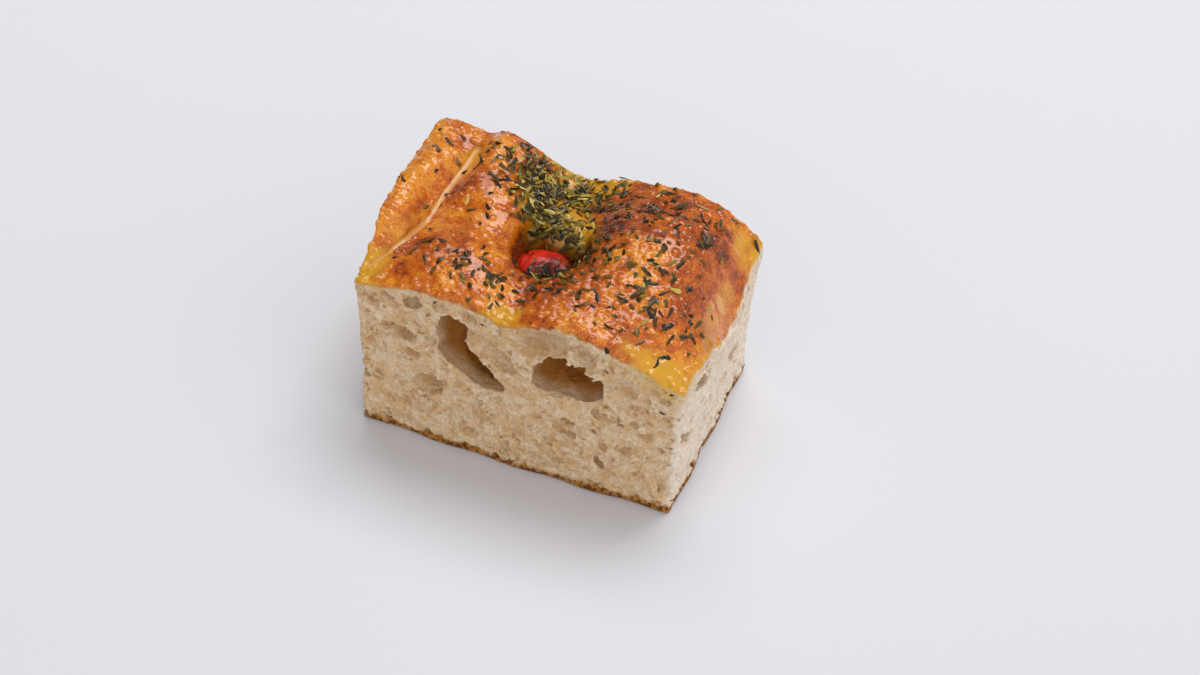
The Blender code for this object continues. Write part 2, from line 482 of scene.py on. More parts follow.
@dataclass(frozen=True)
class BreadFinish:
    """Wheat dough baked in an oiled pan: dry spongy crumb inside, a thin blistered crust wet with oil.

    The crust gives an orange-brown skin that goes yellow where oil has soaked in and nearly black
    where the oven caught it; its darkest browns also stand as painted shade low in the tomato's dimple,
    and its crease is pale with crumb showing and a painted highlight of oil. The crumb gives a warm
    cream; the tan in its pores and holes is painted shade, deeper further in, and its right cut face is
    painted paler as painted light.
    """

    crumb_pale: str = "eed8b8"
    crumb: str = "e0bc8e"
    crumb_grain_and_pore_shade: str = "c2935e"
    crumb_hole_shade: str = "9c6424"
    crumb_right_light: str = "fdf3e8"
    oil_stain: str = "dcb44c"
    crust_soaked: str = "d09a1c"
    crust_gold: str = "dc8c26"
    crust_brown: str = "c2600a"
    # The two darkest browns also colour the painted shade low in the tomato's dimple.
    crust_deep: str = "9c4206"
    crust_dark: str = "5a2608"
    # The crease's pale colour is partly crumb showing and partly a painted highlight of oil in the
    # groove.
    crease_pale_and_highlight: str = "d69c56"
    base_brown: str = "b87c34"
    base_dark: str = "6c3e0e"
    crumb_roughness: float = 0.85
    crust_roughness: float = 0.36
    oil_weight: float = 1.0
    oil_roughness: float = 0.05
    oil_ior: float = 1.4
    crust_specular: float = 0.12
    crumb_specular: float = 0.3
    crust_glow: float = 0.05
    crumb_glow: float = 0.12
    glow_depth_mm: float = 2.0
    glow_reach: tuple[float, float, float] = (1.0, 0.6, 0.35)
    # A pore's pale wall is drawn about twice as thick as the real one, or it would not show.
    pore_mm: float = 0.95
    grain_mm: float = 0.42
    mottle_mm: float = 3.2
    fleck_mm: float = 0.7
    pucker_mm: float = 1.3
    pucker_height_mm: float = 0.3
    grain_height_mm: float = 0.4

    def material(self, name: str, oiled: bool) -> bpy.types.Material:
        """Build the bread's material.

        Args:
            name: the material's name.
            oiled: True for the crust, which wears a coat of oil.

        Returns:
            A material that reads the bread's own attributes.
        """
        made = bpy.data.materials.new(name)
        made.use_nodes = True
        tree = made.node_tree
        shader = tree.nodes["Principled BSDF"]
        place = add_node(tree, "TexCoord").outputs["Object"]
        crust = self._attribute(tree, "crust")
        colour = self._mix(tree, crust, self._crumb_colour(tree, place),
                           self._crust_colour(tree, place))
        tree.links.new(colour, shader.inputs["Base Color"])
        rough = add_node(tree, "MapRange", None, {"Value": crust, "To Min": self.crumb_roughness,
                                                  "To Max": self.crust_roughness})
        tree.links.new(rough.outputs["Result"], shader.inputs["Roughness"])
        shader.inputs["Specular IOR Level"].default_value = (
            self.crust_specular if oiled else self.crumb_specular)
        shader.inputs["Subsurface Weight"].default_value = self.crust_glow if oiled else self.crumb_glow
        shader.inputs["Subsurface Scale"].default_value = self.glow_depth_mm * MM
        shader.inputs["Subsurface Radius"].default_value = self.glow_reach
        if oiled:
            shader.inputs["Coat Weight"].default_value = self.oil_weight
            shader.inputs["Coat Roughness"].default_value = self.oil_roughness
            shader.inputs["Coat IOR"].default_value = self.oil_ior
        self._bump(tree, place, shader, oiled)
        return made

    def _attribute(self, tree: bpy.types.NodeTree, name: str) -> bpy.types.NodeSocket:
        """Output of one of the mesh's own float attributes."""
        return add_node(tree, "Attribute", {"attribute_name": name}).outputs["Fac"]

    def _mix(self, tree: bpy.types.NodeTree, share: object, first: object,
             second: object) -> bpy.types.NodeSocket:
        """Blend two colours by a share."""
        node = add_node(tree, "Mix", {"data_type": "RGBA"}, {0: share, 6: first, 7: second})
        return node.outputs[2]

    def _noise(self, tree: bpy.types.NodeTree, place: bpy.types.NodeSocket, size_mm: float,
               detail: float = 2.0) -> bpy.types.NodeSocket:
        """Cloudy noise whose patches are about a given size."""
        return add_node(tree, "TexNoise", None, {"Vector": place, "Scale": 1.0 / (size_mm * MM),
                                                 "Detail": detail}).outputs["Fac"]

    def _ranged(self, tree: bpy.types.NodeTree, value: bpy.types.NodeSocket, low: float, high: float,
                to_low: float = 0.0, to_high: float = 1.0) -> bpy.types.NodeSocket:
        """Map a value from one range to another, clamped and eased."""
        return add_node(tree, "MapRange", {"interpolation_type": "SMOOTHSTEP"},
                        {"Value": value, "From Min": low, "From Max": high,
                         "To Min": to_low, "To Max": to_high}).outputs["Result"]

    def _pores(self, tree: bpy.types.NodeTree, place: bpy.types.NodeSocket) -> bpy.types.NodeSocket:
        """Net of thin pale walls round small pores.

        Args:
            tree: the material's node tree.
            place: the place on the object.

        Returns:
            A value of 0 in the middle of a pore and 1 on a wall.
        """
        bend = add_node(tree, "TexNoise", None, {"Vector": place, "Scale": 1.0 / (self.pore_mm * MM),
                                                 "Detail": 2.0}).outputs["Color"]
        shift = add_node(tree, "VectorMath", {"operation": "MULTIPLY_ADD"},
                         {0: bend, 1: (self.pore_mm * MM * 1.6,) * 3, 2: place}).outputs[0]
        cells = add_node(tree, "TexVoronoi", None, {"Vector": shift,
                                                    "Scale": 1.0 / (self.pore_mm * MM)})
        return self._ranged(tree, cells.outputs["Distance"], 0.12, 0.62)

    def _crumb_colour(self, tree: bpy.types.NodeTree,
                      place: bpy.types.NodeSocket) -> bpy.types.NodeSocket:
        """Cream crumb with tan in its pores and deeper tan in its holes as painted shade, painted light
        on the right cut face, browned at the base.

        Args:
            tree: the material's node tree.
            place: the place on the object.

        Returns:
            The crumb's colour.
        """
        cloud = self._ranged(tree, self._noise(tree, place, self.mottle_mm), 0.35, 0.65)
        plain = self._mix(tree, cloud, linear(self.crumb), linear(self.crumb_pale))
        fine = self._ranged(tree, self._noise(tree, place, self.grain_mm, 3.0), 0.3, 0.6)
        grainy = self._mix(tree, fine, linear(self.crumb_grain_and_pore_shade), plain)
        # Painted shade: the middles of the small pores are darker; the fine grain above is the crumb's
        # own tone.
        pore = self._mix(tree, 0.62, linear(self.crumb_grain_and_pore_shade), plain)
        wall = self._mix(tree, 0.45, grainy, plain)
        porous = self._mix(tree, self._pores(tree, place), pore, wall)
        # Painted light: the right cut face, read through the attribute dry, is paler, most on its
        # outermost parts.
        right_lit = self._mix(tree, self._attribute(tree, "dry"), porous, linear(self.crumb_right_light))
        # Painted shade: the holes turn tan, the more the deeper they go behind the cut face.
        tan = self._mix(tree, self._attribute(tree, "hole"), right_lit, linear(self.crumb_hole_shade))
        stained = self._mix(tree, self._attribute(tree, "stain"), tan, linear(self.oil_stain))
        base_cloud = self._ranged(tree, self._noise(tree, place, self.mottle_mm * 0.5), 0.42, 0.6)
        base = self._mix(tree, base_cloud, linear(self.base_brown), linear(self.base_dark))
        return self._mix(tree, self._attribute(tree, "base"), stained, base)

    def _crust_colour(self, tree: bpy.types.NodeTree,
                      place: bpy.types.NodeSocket) -> bpy.types.NodeSocket:
        """Crust from oil-soaked yellow through gold and orange-brown to dark, flecked by the oven; the
        dark end also carries painted shade low in the dimple, and the crease a painted highlight.

        Args:
            tree: the material's node tree.
            place: the place on the object.

        Returns:
            The crust's colour.
        """
        speckle = self._noise(tree, place, self.fleck_mm, 3.0)
        fleck = self._ranged(tree, speckle, 0.35, 0.68, -0.16, 0.18)
        # The bake attribute holds the browning together with the painted shade low in the dimple.
        bake = add_node(tree, "Math", {"operation": "ADD"},
                        {0: self._attribute(tree, "bake"), 1: fleck}).outputs[0]
        gold = self._mix(tree, self._ranged(tree, bake, 0.05, 0.42), linear(self.crust_gold),
                         linear(self.crust_brown))
        deep = self._mix(tree, self._ranged(tree, bake, 0.42, 0.72), gold, linear(self.crust_deep))
        dark = self._mix(tree, self._ranged(tree, bake, 0.7, 1.05), deep, linear(self.crust_dark))
        soaked = self._mix(tree, self._attribute(tree, "soaked"), dark, linear(self.crust_soaked))
        # Partly crumb showing and partly a painted highlight: the oil standing in the crease, with a
        # few small pale spots.
        return self._mix(tree, self._attribute(tree, "pale"), soaked, linear(self.crease_pale_and_highlight))

    def _bump(self, tree: bpy.types.NodeTree, place: bpy.types.NodeSocket, shader: bpy.types.Node,
              oiled: bool) -> None:
        """Fine relief: spongy grain on the crumb, faint puckers on the crust where no oil stands.

        Args:
            tree: the material's node tree.
            place: the place on the object.
            shader: the shader that takes the relief.
            oiled: True for the crust.
        """
        if oiled:
            pucker = self._noise(tree, place, self.pucker_mm, 1.0)
            dry = self._ranged(tree, self._attribute(tree, "oil"), 0.1, 0.7, 0.3, 0.06)
            bump = add_node(tree, "Bump", None, {"Height": pucker, "Strength": dry,
                                                 "Distance": self.pucker_height_mm * MM})
            tree.links.new(bump.outputs["Normal"], shader.inputs["Coat Normal"])
        else:
            deep = self.grain_height_mm * MM
            grain = self._noise(tree, place, self.grain_mm, 4.0)
            fine = add_node(tree, "Bump", None, {"Height": grain, "Strength": 0.8, "Distance": deep})
            bump = add_node(tree, "Bump", None, {"Height": self._pores(tree, place), "Strength": 0.5,
                                                 "Distance": deep, "Normal": fine.outputs["Normal"]})
        tree.links.new(bump.outputs["Normal"], shader.inputs["Normal"])


@dataclass(frozen=True)
class TomatoFinish:
    """Cherry tomato roasted in oil.

    Its thin wrinkled skin gives a bright red on the folds; the near black between them, in its sunken
    hollow and over its right front side is painted shade.
    """

    skin: str = "cc2206"
    # deep is the near-black of the painted shade.
    deep: str = "300702"
    bright: str = "ea4a18"
    roughness: float = 0.5
    coat: float = 0.3
    coat_roughness: float = 0.06
    specular: float = 0.15
    glow: float = 0.1
    glow_depth_mm: float = 1.5
    fold_mm: float = 2.4
    fold_height_mm: float = 0.3

    def material(self) -> bpy.types.Material:
        """Build the tomato skin's material.

        Returns:
            A material that reads the skin's own attribute, fold, whose low values are painted shade.
        """
        made = bpy.data.materials.new("roasted_tomato_skin")
        made.use_nodes = True
        tree = made.node_tree
        shader = tree.nodes["Principled BSDF"]
        place = add_node(tree, "TexCoord").outputs["Object"]
        fold = add_node(tree, "Attribute", {"attribute_name": "fold"}).outputs["Fac"]
        cloud = add_node(tree, "TexNoise", None, {"Vector": place, "Scale": 1.0 / (self.fold_mm * MM),
                                                  "Detail": 2.0}).outputs["Fac"]
        # Painted shade: where fold is low, the skin takes the near-black deep colour.
        shade = add_node(tree, "Mix", {"data_type": "RGBA"},
                         {0: fold, 6: linear(self.deep), 7: linear(self.skin)}).outputs[2]
        light = add_node(tree, "MapRange", None, {"Value": cloud, "From Min": 0.5, "From Max": 0.75,
                                                  "To Max": 0.6}).outputs["Result"]
        colour = add_node(tree, "Mix", {"data_type": "RGBA"},
                          {0: light, 6: shade, 7: linear(self.bright)})
        tree.links.new(colour.outputs[2], shader.inputs["Base Color"])
        shader.inputs["Roughness"].default_value = self.roughness
        shader.inputs["Specular IOR Level"].default_value = self.specular
        shader.inputs["Coat Weight"].default_value = self.coat
        shader.inputs["Coat Roughness"].default_value = self.coat_roughness
        shader.inputs["Subsurface Weight"].default_value = self.glow
        shader.inputs["Subsurface Scale"].default_value = self.glow_depth_mm * MM
        bump = add_node(tree, "Bump", None, {"Height": cloud, "Strength": 0.2,
                                             "Distance": self.fold_height_mm * MM})
        tree.links.new(bump.outputs["Normal"], shader.inputs["Normal"])
        return made


@dataclass(frozen=True)
class HerbFinish:
    """Dried rosemary and oregano, chopped and oiled.

    It gives dark olive needles, some of them nearly black, among a few straw-coloured stalks.
    """

    name: str
    dark: str
    light: str
    roughness: float = 0.5
    coat: float = 0.35
    coat_roughness: float = 0.15
    specular: float = 0.2
    grain_mm: float = 0.35
    grain_height_mm: float = 0.2

    def material(self) -> bpy.types.Material:
        """Build the flakes' material, whose tint changes from flake to flake.

        Returns:
            A material that reads the flakes' own attribute, tint.
        """
        made = bpy.data.materials.new(self.name)
        made.use_nodes = True
        tree = made.node_tree
        shader = tree.nodes["Principled BSDF"]
        tint = add_node(tree, "Attribute", {"attribute_name": "tint"}).outputs["Fac"]
        colour = add_node(tree, "Mix", {"data_type": "RGBA"},
                          {0: tint, 6: linear(self.dark), 7: linear(self.light)}).outputs[2]
        tree.links.new(colour, shader.inputs["Base Color"])
        shader.inputs["Roughness"].default_value = self.roughness
        shader.inputs["Coat Weight"].default_value = self.coat
        shader.inputs["Coat Roughness"].default_value = self.coat_roughness
        shader.inputs["Specular IOR Level"].default_value = self.specular
        place = add_node(tree, "TexCoord").outputs["Object"]
        grain = add_node(tree, "TexNoise", None, {"Vector": place, "Scale": 1.0 / (self.grain_mm * MM)})
        bump = add_node(tree, "Bump", None, {"Height": grain.outputs["Fac"], "Strength": 0.4,
                                             "Distance": self.grain_height_mm * MM})
        tree.links.new(bump.outputs["Normal"], shader.inputs["Normal"])
        return made


# ---------------------------------------------------------------- the bread


class Region(Enum):
    """The pieces that the bread's surface is cut into."""

    CRUST = "bread_crust"
    FRONT = "bread_front_cut"
    RIGHT = "bread_right_cut"
    BACK = "bread_back_cut"
    LEFT = "bread_left_cut"
    BASE = "bread_base"


@dataclass(frozen=True)
class HoleKind:
    """One kind of gas hole opened by the knife: radii, number, and room left under the crust."""

    smallest: float
    largest: float
    per_square_cm: float
    stretch: float
    clear_of_crust: float


@dataclass(frozen=True)
class Pocket:
    """A large gas pocket opened by the knife in the front face, outlined on that face by X and Z.

    Its walls close in towards the back; overhang widens it just behind its torn rim, and lean
    lets it sink or rise as it goes in.
    """

    outline: tuple[tuple[float, float], ...]
    depth: float
    overhang: float = 0.0
    lean: float = 0.0
    tear: float = 0.45

    def inside(self, x: Array, z: Array) -> Array:
        """Distance to the outline, positive inside it.

        Args:
            x: places along the front face.
            z: their heights.

        Returns:
            One distance for each place.
        """
        best = np.full(x.shape, FAR, np.float32)
        within = np.zeros(x.shape, bool)
        for (ax, az), (bx, bz) in zip(self.outline, self.outline[1:] + self.outline[:1]):
            run_x, run_z = bx - ax, bz - az
            share = np.clip(((x - ax) * run_x + (z - az) * run_z) / (run_x ** 2 + run_z ** 2), 0.0, 1.0)
            best = np.minimum(best, np.hypot(x - ax - share * run_x, z - az - share * run_z))
            crossing = (az > z) != (bz > z)
            slope = run_x / run_z if run_z else 0.0
            within ^= crossing & (x < ax + (z - az) * slope)
        return np.where(within, best, -best)

    def half_width(self) -> float:
        """Half of the outline's smaller size."""
        sizes = [max(p[n] for p in self.outline) - min(p[n] for p in self.outline) for n in (0, 1)]
        return 0.5 * min(sizes)


FRONT_POCKETS: tuple[Pocket, ...] = (
    Pocket(((-19.6, 48.6), (-21.3, 45.6), (-21.8, 41.5), (-20.6, 38.0), (-21.4, 35.4), (-18.2, 32.6),
            (-13.5, 30.0), (-8.5, 27.2), (-2.4, 27.8), (-4.4, 31.4), (-8.0, 34.6), (-11.6, 38.0),
            (-14.3, 42.2), (-16.4, 46.2)), 13.0, 1.4, -0.10),
    Pocket(((7.4, 40.2), (11.0, 43.2), (15.4, 44.4), (20.6, 43.2), (25.4, 41.0), (26.9, 37.2),
            (25.6, 35.0), (21.6, 33.2), (16.4, 33.9), (10.6, 33.0), (7.0, 34.4)), 12.0, 1.3, -0.05),
    Pocket(((1.4, 50.2), (4.6, 52.4), (10.2, 53.0), (14.6, 52.6), (16.4, 49.8), (14.6, 46.9),
            (11.0, 46.2), (8.6, 43.4), (5.2, 44.6), (3.0, 47.4)), 4.6, 0.5, 0.10),
    Pocket(((19.0, 48.6), (20.0, 50.6), (22.4, 50.4), (23.6, 48.4), (22.6, 46.6), (20.2, 46.5)),
           3.4, 0.3),
    Pocket(((28.6, 40.6), (31.4, 42.4), (34.2, 40.6), (35.6, 37.6), (33.6, 35.6), (29.6, 36.2)), 2.2),
    Pocket(((-14.0, 47.6), (-11.4, 48.0), (-7.2, 44.4), (-2.4, 39.6), (0.8, 35.6), (-1.2, 34.4),
            (-5.4, 37.6), (-10.2, 42.4)), 2.6),
    Pocket(((-36.8, 37.4), (-34.4, 39.2), (-30.8, 38.8), (-29.2, 36.8), (-31.6, 35.2),
            (-35.6, 35.4)), 4.0, 0.4),
    Pocket(((-32.4, 31.8), (-29.4, 32.8), (-26.8, 31.4), (-28.2, 29.8), (-31.4, 29.9)), 3.2, 0.3),
    Pocket(((-42.8, 29.6), (-40.2, 30.2), (-38.6, 28.2), (-40.4, 26.8), (-42.6, 27.6)), 2.0),
    Pocket(((-24.6, 52.3), (-21.6, 53.1), (-19.0, 51.9), (-20.6, 50.3), (-23.6, 50.4)), 1.8),
    Pocket(((-29.4, 21.6), (-27.4, 24.4), (-23.6, 24.6), (-20.6, 22.6), (-20.4, 19.6), (-24.0, 17.8),
            (-28.0, 18.6)), 3.6, 0.2),
    Pocket(((-32.4, 13.8), (-31.0, 14.0), (-29.8, 10.4), (-30.8, 9.0), (-32.4, 10.6)), 2.6),
    Pocket(((-11.2, 17.2), (-9.4, 17.0), (-7.4, 13.4), (-8.4, 12.4), (-10.4, 13.8)), 2.6),
    Pocket(((-3.6, 15.2), (-1.4, 15.0), (0.4, 12.8), (-0.8, 12.0), (-3.0, 13.2)), 1.8),
)


@dataclass(frozen=True)
class CrustRelief:
    """Sizes in mm of the crust's rolls, wrinkles, blisters and standing oil."""

    rolls: tuple[tuple[float, float, float], ...] = ((7.0, 9.0, 0.30), (3.0, 4.5, 0.16))
    wrinkles: tuple[tuple[float, float], ...] = ((0.0, 2.3), (31.0, 1.5))
    wrinkle_level: float = 0.8
    wrinkle_lift: float = 0.16
    blisters_per_mm2: float = 0.42
    least_chance: float = 0.22
    blister_size: float = 0.55
    blister_spread: float = 0.85
    flattest: float = 0.34
    steepest: float = 0.52
    oil_level: float = 0.04
    oil_ripple: float = 2.6
    oil_ripple_lift: float = 0.028
    crease_depth: float = 0.55


@dataclass(frozen=True)
class CrumbRelief:
    """Sizes in mm of the torn sponge on a cut face: each swing of the noise and its depth."""

    folds: tuple[tuple[float, float], ...] = ((1.9, 0.50), (1.05, 0.55))
    grain: float = 0.55
    grain_depth: float = 0.17
    proud: float = 0.10


@dataclass(frozen=True)
class Toning:
    """How strong each tone of the bread is, and over which depths or heights in mm it fades; the hole,
    right-face and dimple tones are painted shade and painted light.
    """

    # Painted shade in the holes: its share near the cut face, and the depths over which it grows.
    shallow_shade_share: float = 0.20
    shallow_hole_shade: tuple[float, float] = (0.45, 2.2)
    deep_hole_shade: tuple[float, float] = (2.4, 6.5)
    # Painted light on the right cut face: its strength, the depths into the face over which it fades,
    # and how much less it is high up.
    right_light_strength: float = 0.56
    right_light_reach: tuple[float, float] = (0.6, 3.2)
    right_light_fall: float = 0.3
    right_light_heights: tuple[float, float] = (34.0, 52.0)
    base_waves: tuple[tuple[float, float], ...] = ((7.0, 0.45), (2.6, 0.7), (1.2, 0.3))
    stain: Patch = Patch(44.0, -31.0, 7.0, 6.0, 0, 0.5)
    stain_reach: tuple[float, float] = (1.0, 9.0)
    edge_soak: float = 0.55
    edge_reach: tuple[float, float] = (0.2, 1.5)
    soak_limit: float = 0.85
    even_bake: float = 0.40
    bake_waves: tuple[tuple[float, float], ...] = ((7.0, 0.26), (2.8, 0.26), (1.3, 0.16))
    # Painted shade low in the tomato's dimple, strongest at its front; it is added to the browning.
    dimple_shade_strength: float = 0.30
    dimple_front_shade: float = 0.62
    pit_front: tuple[float, float] = (3.0, 9.0)
    pit_heights: tuple[float, float] = (49.0, 54.5)
    pale_limit: float = 0.8


@dataclass
class Bread:
    """The block of bread, grown from the frame's bread solid.

    cell is the step of the grid in which the bread is carved, margin the empty room round it and
    reach how far out distances are known. round_over and smooth_top soften the solid's facets at
    the cut edges and on the crust. swells are ovals, each by its middle and half sizes, that draw
    the dimple's walls in; lifts raise parts of the crust's rim. Holes are sunk, tilted in degrees
    and flattened by the values that start with hole.
    """

    cell: float = 0.36
    quick_cell: float = 0.6
    margin: float = 1.8
    reach: float = 3.2
    round_over: float = 0.45
    smooth_top: float = 1.25
    edge_keep: float = 1.6
    upper_part: tuple[float, float] = (36.0, 44.0)
    crust_thickness: float = 1.1
    crust_drop: float = 0.25
    base_thickness: float = 2.5
    lowest_crust: float = 38.0
    rim: float = 0.9
    rim_share: float = 0.86
    face_softness: float = 2.0
    side_reach: float = 6.0
    swell_blend: float = 2.0
    crust_fade: tuple[float, float] = (2.0, 5.0)
    lift_fade: tuple[float, float] = (2.0, 14.0)
    pit_radius: float = 13.0
    relief: CrustRelief = field(default_factory=CrustRelief)
    sponge: CrumbRelief = field(default_factory=CrumbRelief)
    toning: Toning = field(default_factory=Toning)
    hole_waves: tuple[tuple[float, float], ...] = ((2.4, 0.55), (1.1, 0.22))
    hole_sink: tuple[float, float] = (-0.25, 0.55)
    hole_tilt: tuple[float, float] = (-8.0, 22.0)
    hole_flatness: float = 0.72
    kinds: tuple[HoleKind, ...] = (
        HoleKind(1.9, 3.0, 0.22, 1.5, 3.0),
        HoleKind(1.1, 1.9, 1.1, 1.6, 2.0),
        HoleKind(0.65, 1.1, 6.5, 1.5, 1.4),
        HoleKind(0.34, 0.62, 60.0, 1.35, 1.2),
    )
    pockets: tuple[Pocket, ...] = FRONT_POCKETS
    swells: tuple[tuple[tuple[float, float, float], tuple[float, float, float]], ...] = (
        ((-2.4, 13.0, 46.0), (12.0, 9.4, 9.0)),
        ((-16.6, -0.5, 45.0), (6.2, 9.0, 9.0)),
        ((10.6, 2.0, 45.0), (4.6, 8.0, 9.5)),
    )
    lifts: tuple[Patch, ...] = (
        Patch(-50.0, 33.0, 6.0, 5.0, 0, 2.2),
        Patch(-50.5, -30.0, 4.0, 6.0, 0, 0.9),
        Patch(50.0, 33.0, 5.0, 5.0, 0, 0.9),
        Patch(4.0, 34.0, 9.0, 3.0, 0, 0.8),
    )
    seed: int = 11
    map: CrustMap = field(default_factory=CrustMap)
    finish: BreadFinish = field(default_factory=BreadFinish)

    def build(self, node: bpy.types.Object) -> dict[Region, bpy.types.Object]:
        """Grow the bread and cut its surface into pieces.

        Args:
            node: the frame's bread solid.

        Returns:
            The piece of each region.
        """
        self.dice = np.random.default_rng(self.seed)
        self._fill(node)
        self._smooth()
        self._close_dimple()
        self._find_faces()
        self._raise_blisters()
        self._open_holes()
        self._roughen()
        return self._cut_up()

    def _fill(self, node: bpy.types.Object) -> None:
        """Measure the distance to the solid on a regular grid.

        Args:
            node: the frame's bread solid.
        """
        points, triangles = mesh_arrays(node)
        self.solid_low, self.solid_high = points.min(0), points.max(0)
        first = np.floor((self.solid_low - self.margin) / self.cell).astype(int)
        last = np.ceil((self.solid_high + self.margin) / self.cell).astype(int)
        self.first = tuple(int(n) for n in first)
        self.transform = openvdb.createLinearTransform(voxelSize=self.cell)
        grid = openvdb.FloatGrid.createLevelSetFromPolygons(
            points, triangles=triangles, transform=self.transform, halfWidth=self.reach / self.cell)
        self.values = np.full(tuple(last - first + 1), self.reach, np.float32)
        grid.copyToArray(self.values, ijk=self.first)
        self.axes = tuple((f + np.arange(n, dtype=np.float32)) * self.cell
                          for f, n in zip(first, self.values.shape))

    def _smooth(self) -> None:
        """Round the solid's facets, strongly on the crust and lightly at the cut edges."""
        sharp = soften(self.values, self.round_over / self.cell)
        round_top = soften(self.values, self.smooth_top / self.cell)
        self.plan_x, self.plan_y = np.meshgrid(self.axes[0], self.axes[1], indexing="ij")
        filled = (self.values < 0.0).any(axis=2)
        inner = soften(filled.astype(np.float32), self.edge_keep / self.cell)
        weight = smooth_step(0.75, 1.0, inner)[:, :, None]
        self.values = sharp + (round_top - sharp) * weight * self._upper_share()

    def _upper_share(self) -> Array:
        """One in the upper part of the block, where only the crust's own shape matters."""
        return smooth_step(*self.upper_part, self.axes[2])[None, None, :]

    def _height_map(self) -> Array:
        """Find the height of the crust, held outwards past the cut sides.

        Returns:
            One height for each place in plan.
        """
        solid = self.values < 0.0
        count = solid.shape[2]
        top = count - 1 - np.argmax(solid[:, :, ::-1], axis=2)
        top = np.minimum(top, count - 2)
        rows, columns = np.indices(top.shape)
        here = self.values[rows, columns, top]
        above = self.values[rows, columns, top + 1]
        share = np.clip(here / np.where(here == above, 1.0, here - above), 0.0, 1.0)
        height = self.axes[2][0] + (top + share) * self.cell
        tall = (solid.any(axis=2) & (height > self.lowest_crust)).astype(np.float32)
        # Only columns well inside the tall ones count; the rest take their height from those.
        known = soften(tall, self.rim / self.cell) > self.rim_share
        height = np.where(known, height, 0.0)
        for _ in range(int(self.side_reach / self.cell)):
            near = np.zeros_like(height)
            count_near = np.zeros_like(height)
            for step_x, step_y in ((1, 0), (-1, 0), (0, 1), (0, -1)):
                moved = np.roll(known, (step_x, step_y), (0, 1))
                near += np.where(moved, np.roll(height, (step_x, step_y), (0, 1)), 0.0)
                count_near += moved
            grow = ~known & (count_near > 0)
            height = np.where(grow, near / np.maximum(count_near, 1), height)
            known = known | grow
        return height.astype(np.float32)

    def _side_map(self, axis: int, high: bool) -> Array:
        """Find the outermost bread along an axis.

        Args:
            axis: 0 for the ends, 1 for the front and back.
            high: True for the side towards the axis's high end.

        Returns:
            The face's place along the axis, on the plane of the other two axes.
        """
        solid = self.values < 0.0
        line = self.axes[axis]
        if high:
            index = len(line) - 1 - np.argmax(np.flip(solid, axis), axis=axis)
        else:
            index = np.argmax(solid, axis=axis)
        place = line[index]
        known = solid.any(axis=axis)
        middle = np.median(place[known])
        place = np.where(known, place, middle)
        wide = int(self.side_reach / self.cell)
        for flat_axis in (0, 1):
            best = place
            for step in range(-wide, wide + 1, 2):
                moved = np.roll(place, step, flat_axis)
                best = np.maximum(best, moved) if high else np.minimum(best, moved)
            place = best
        return soften(place.astype(np.float32), self.face_softness / self.cell)

    def _close_dimple(self) -> None:
        """Swell the dimple's walls inwards, so that they hug the tomato."""
        for middle, half in self.swells:
            away = [((axis - m) / h) ** 2 for axis, m, h in zip(self.axes, middle, half)]
            total = away[0][:, None, None] + away[1][None, :, None] + away[2][None, None, :]
            swell = (np.sqrt(total) - 1.0) * min(half)
            soft = self.swell_blend
            blend = np.clip(0.5 + 0.5 * (swell - self.values) / soft, 0.0, 1.0)
            blended = swell + (self.values - swell) * blend - soft * blend * (1.0 - blend)
            self.values = blended.astype(np.float32)

    def _find_faces(self) -> None:
        """Note where the crust and the four cut faces lie."""
        self.height = self._height_map()
        self.sides = {
            Region.FRONT: (1, -1.0, self._side_map(1, False)),
            Region.RIGHT: (0, 1.0, self._side_map(0, True)),
            Region.BACK: (1, 1.0, self._side_map(1, True)),
            Region.LEFT: (0, -1.0, self._side_map(0, False)),
        }

    def _raise_blisters(self) -> None:
        """Lift blisters and puckers on the crust, then let oil fill the low places."""
        relief = self._blisters(self.plan_x, self.plan_y)
        below = self.height[:, :, None] - self.axes[2][None, None, :]
        fade = 1.0 - smooth_step(*self.crust_fade, below)
        self.values -= (relief[:, :, None] - self.crust_drop) * fade
        lift = patches_at(self.lifts, self.plan_x, self.plan_y).astype(np.float32)
        self.values -= lift[:, :, None] * (1.0 - smooth_step(*self.lift_fade, below))
        self.height = self._height_map()

    def _blisters(self, x: Array, y: Array) -> Array:
        """Relief of the crust: rolls, wrinkles, blisters, level oil and the crease.

        Args:
            x: places along the long side.
            y: places along the short side.

        Returns:
            One height in mm for each place, fading out on steep slopes.
        """
        sizes = self.relief
        flat = np.stack([x.ravel(), y.ravel(), np.zeros(x.size)], axis=1)
        noise = LatticeNoise(self.seed + 1)
        rolling = sum(noise.at(flat + shift, wide) * lift for shift, wide, lift in sizes.rolls)
        rolling = rolling.reshape(x.shape)
        wrinkle = sizes.wrinkle_level
        for shift, wide in sizes.wrinkles:
            wrinkle = wrinkle - np.abs(noise.at(flat + shift, wide))
        wrinkle = wrinkle.reshape(x.shape)
        domes = np.full_like(rolling, -1.0)
        area = (x.max() - x.min()) * (y.max() - y.min())
        for _ in range(int(area * sizes.blisters_per_mm2)):
            cx, cy = self.dice.uniform(x.min(), x.max()), self.dice.uniform(y.min(), y.max())
            chance, share = self.dice.uniform(), self.dice.uniform()
            where = float(np.clip(patches_at(self.map.blistered, np.array(cx), np.array(cy)), 0.0, 1.0))
            if chance < sizes.least_chance + (1.0 - sizes.least_chance) * where:
                size = sizes.blister_size + sizes.blister_spread * share ** 1.6
                lift = size * self.dice.uniform(sizes.flattest, sizes.steepest)
                self._dome(domes, cx, cy, size, lift)
        oil = np.clip(patches_at(self.map.oil_pools, x, y), 0.0, 1.0)
        dry = np.maximum(np.maximum(domes, 0.0), wrinkle * sizes.wrinkle_lift)
        ripple = noise.at(flat + 11.0, sizes.oil_ripple).reshape(x.shape)
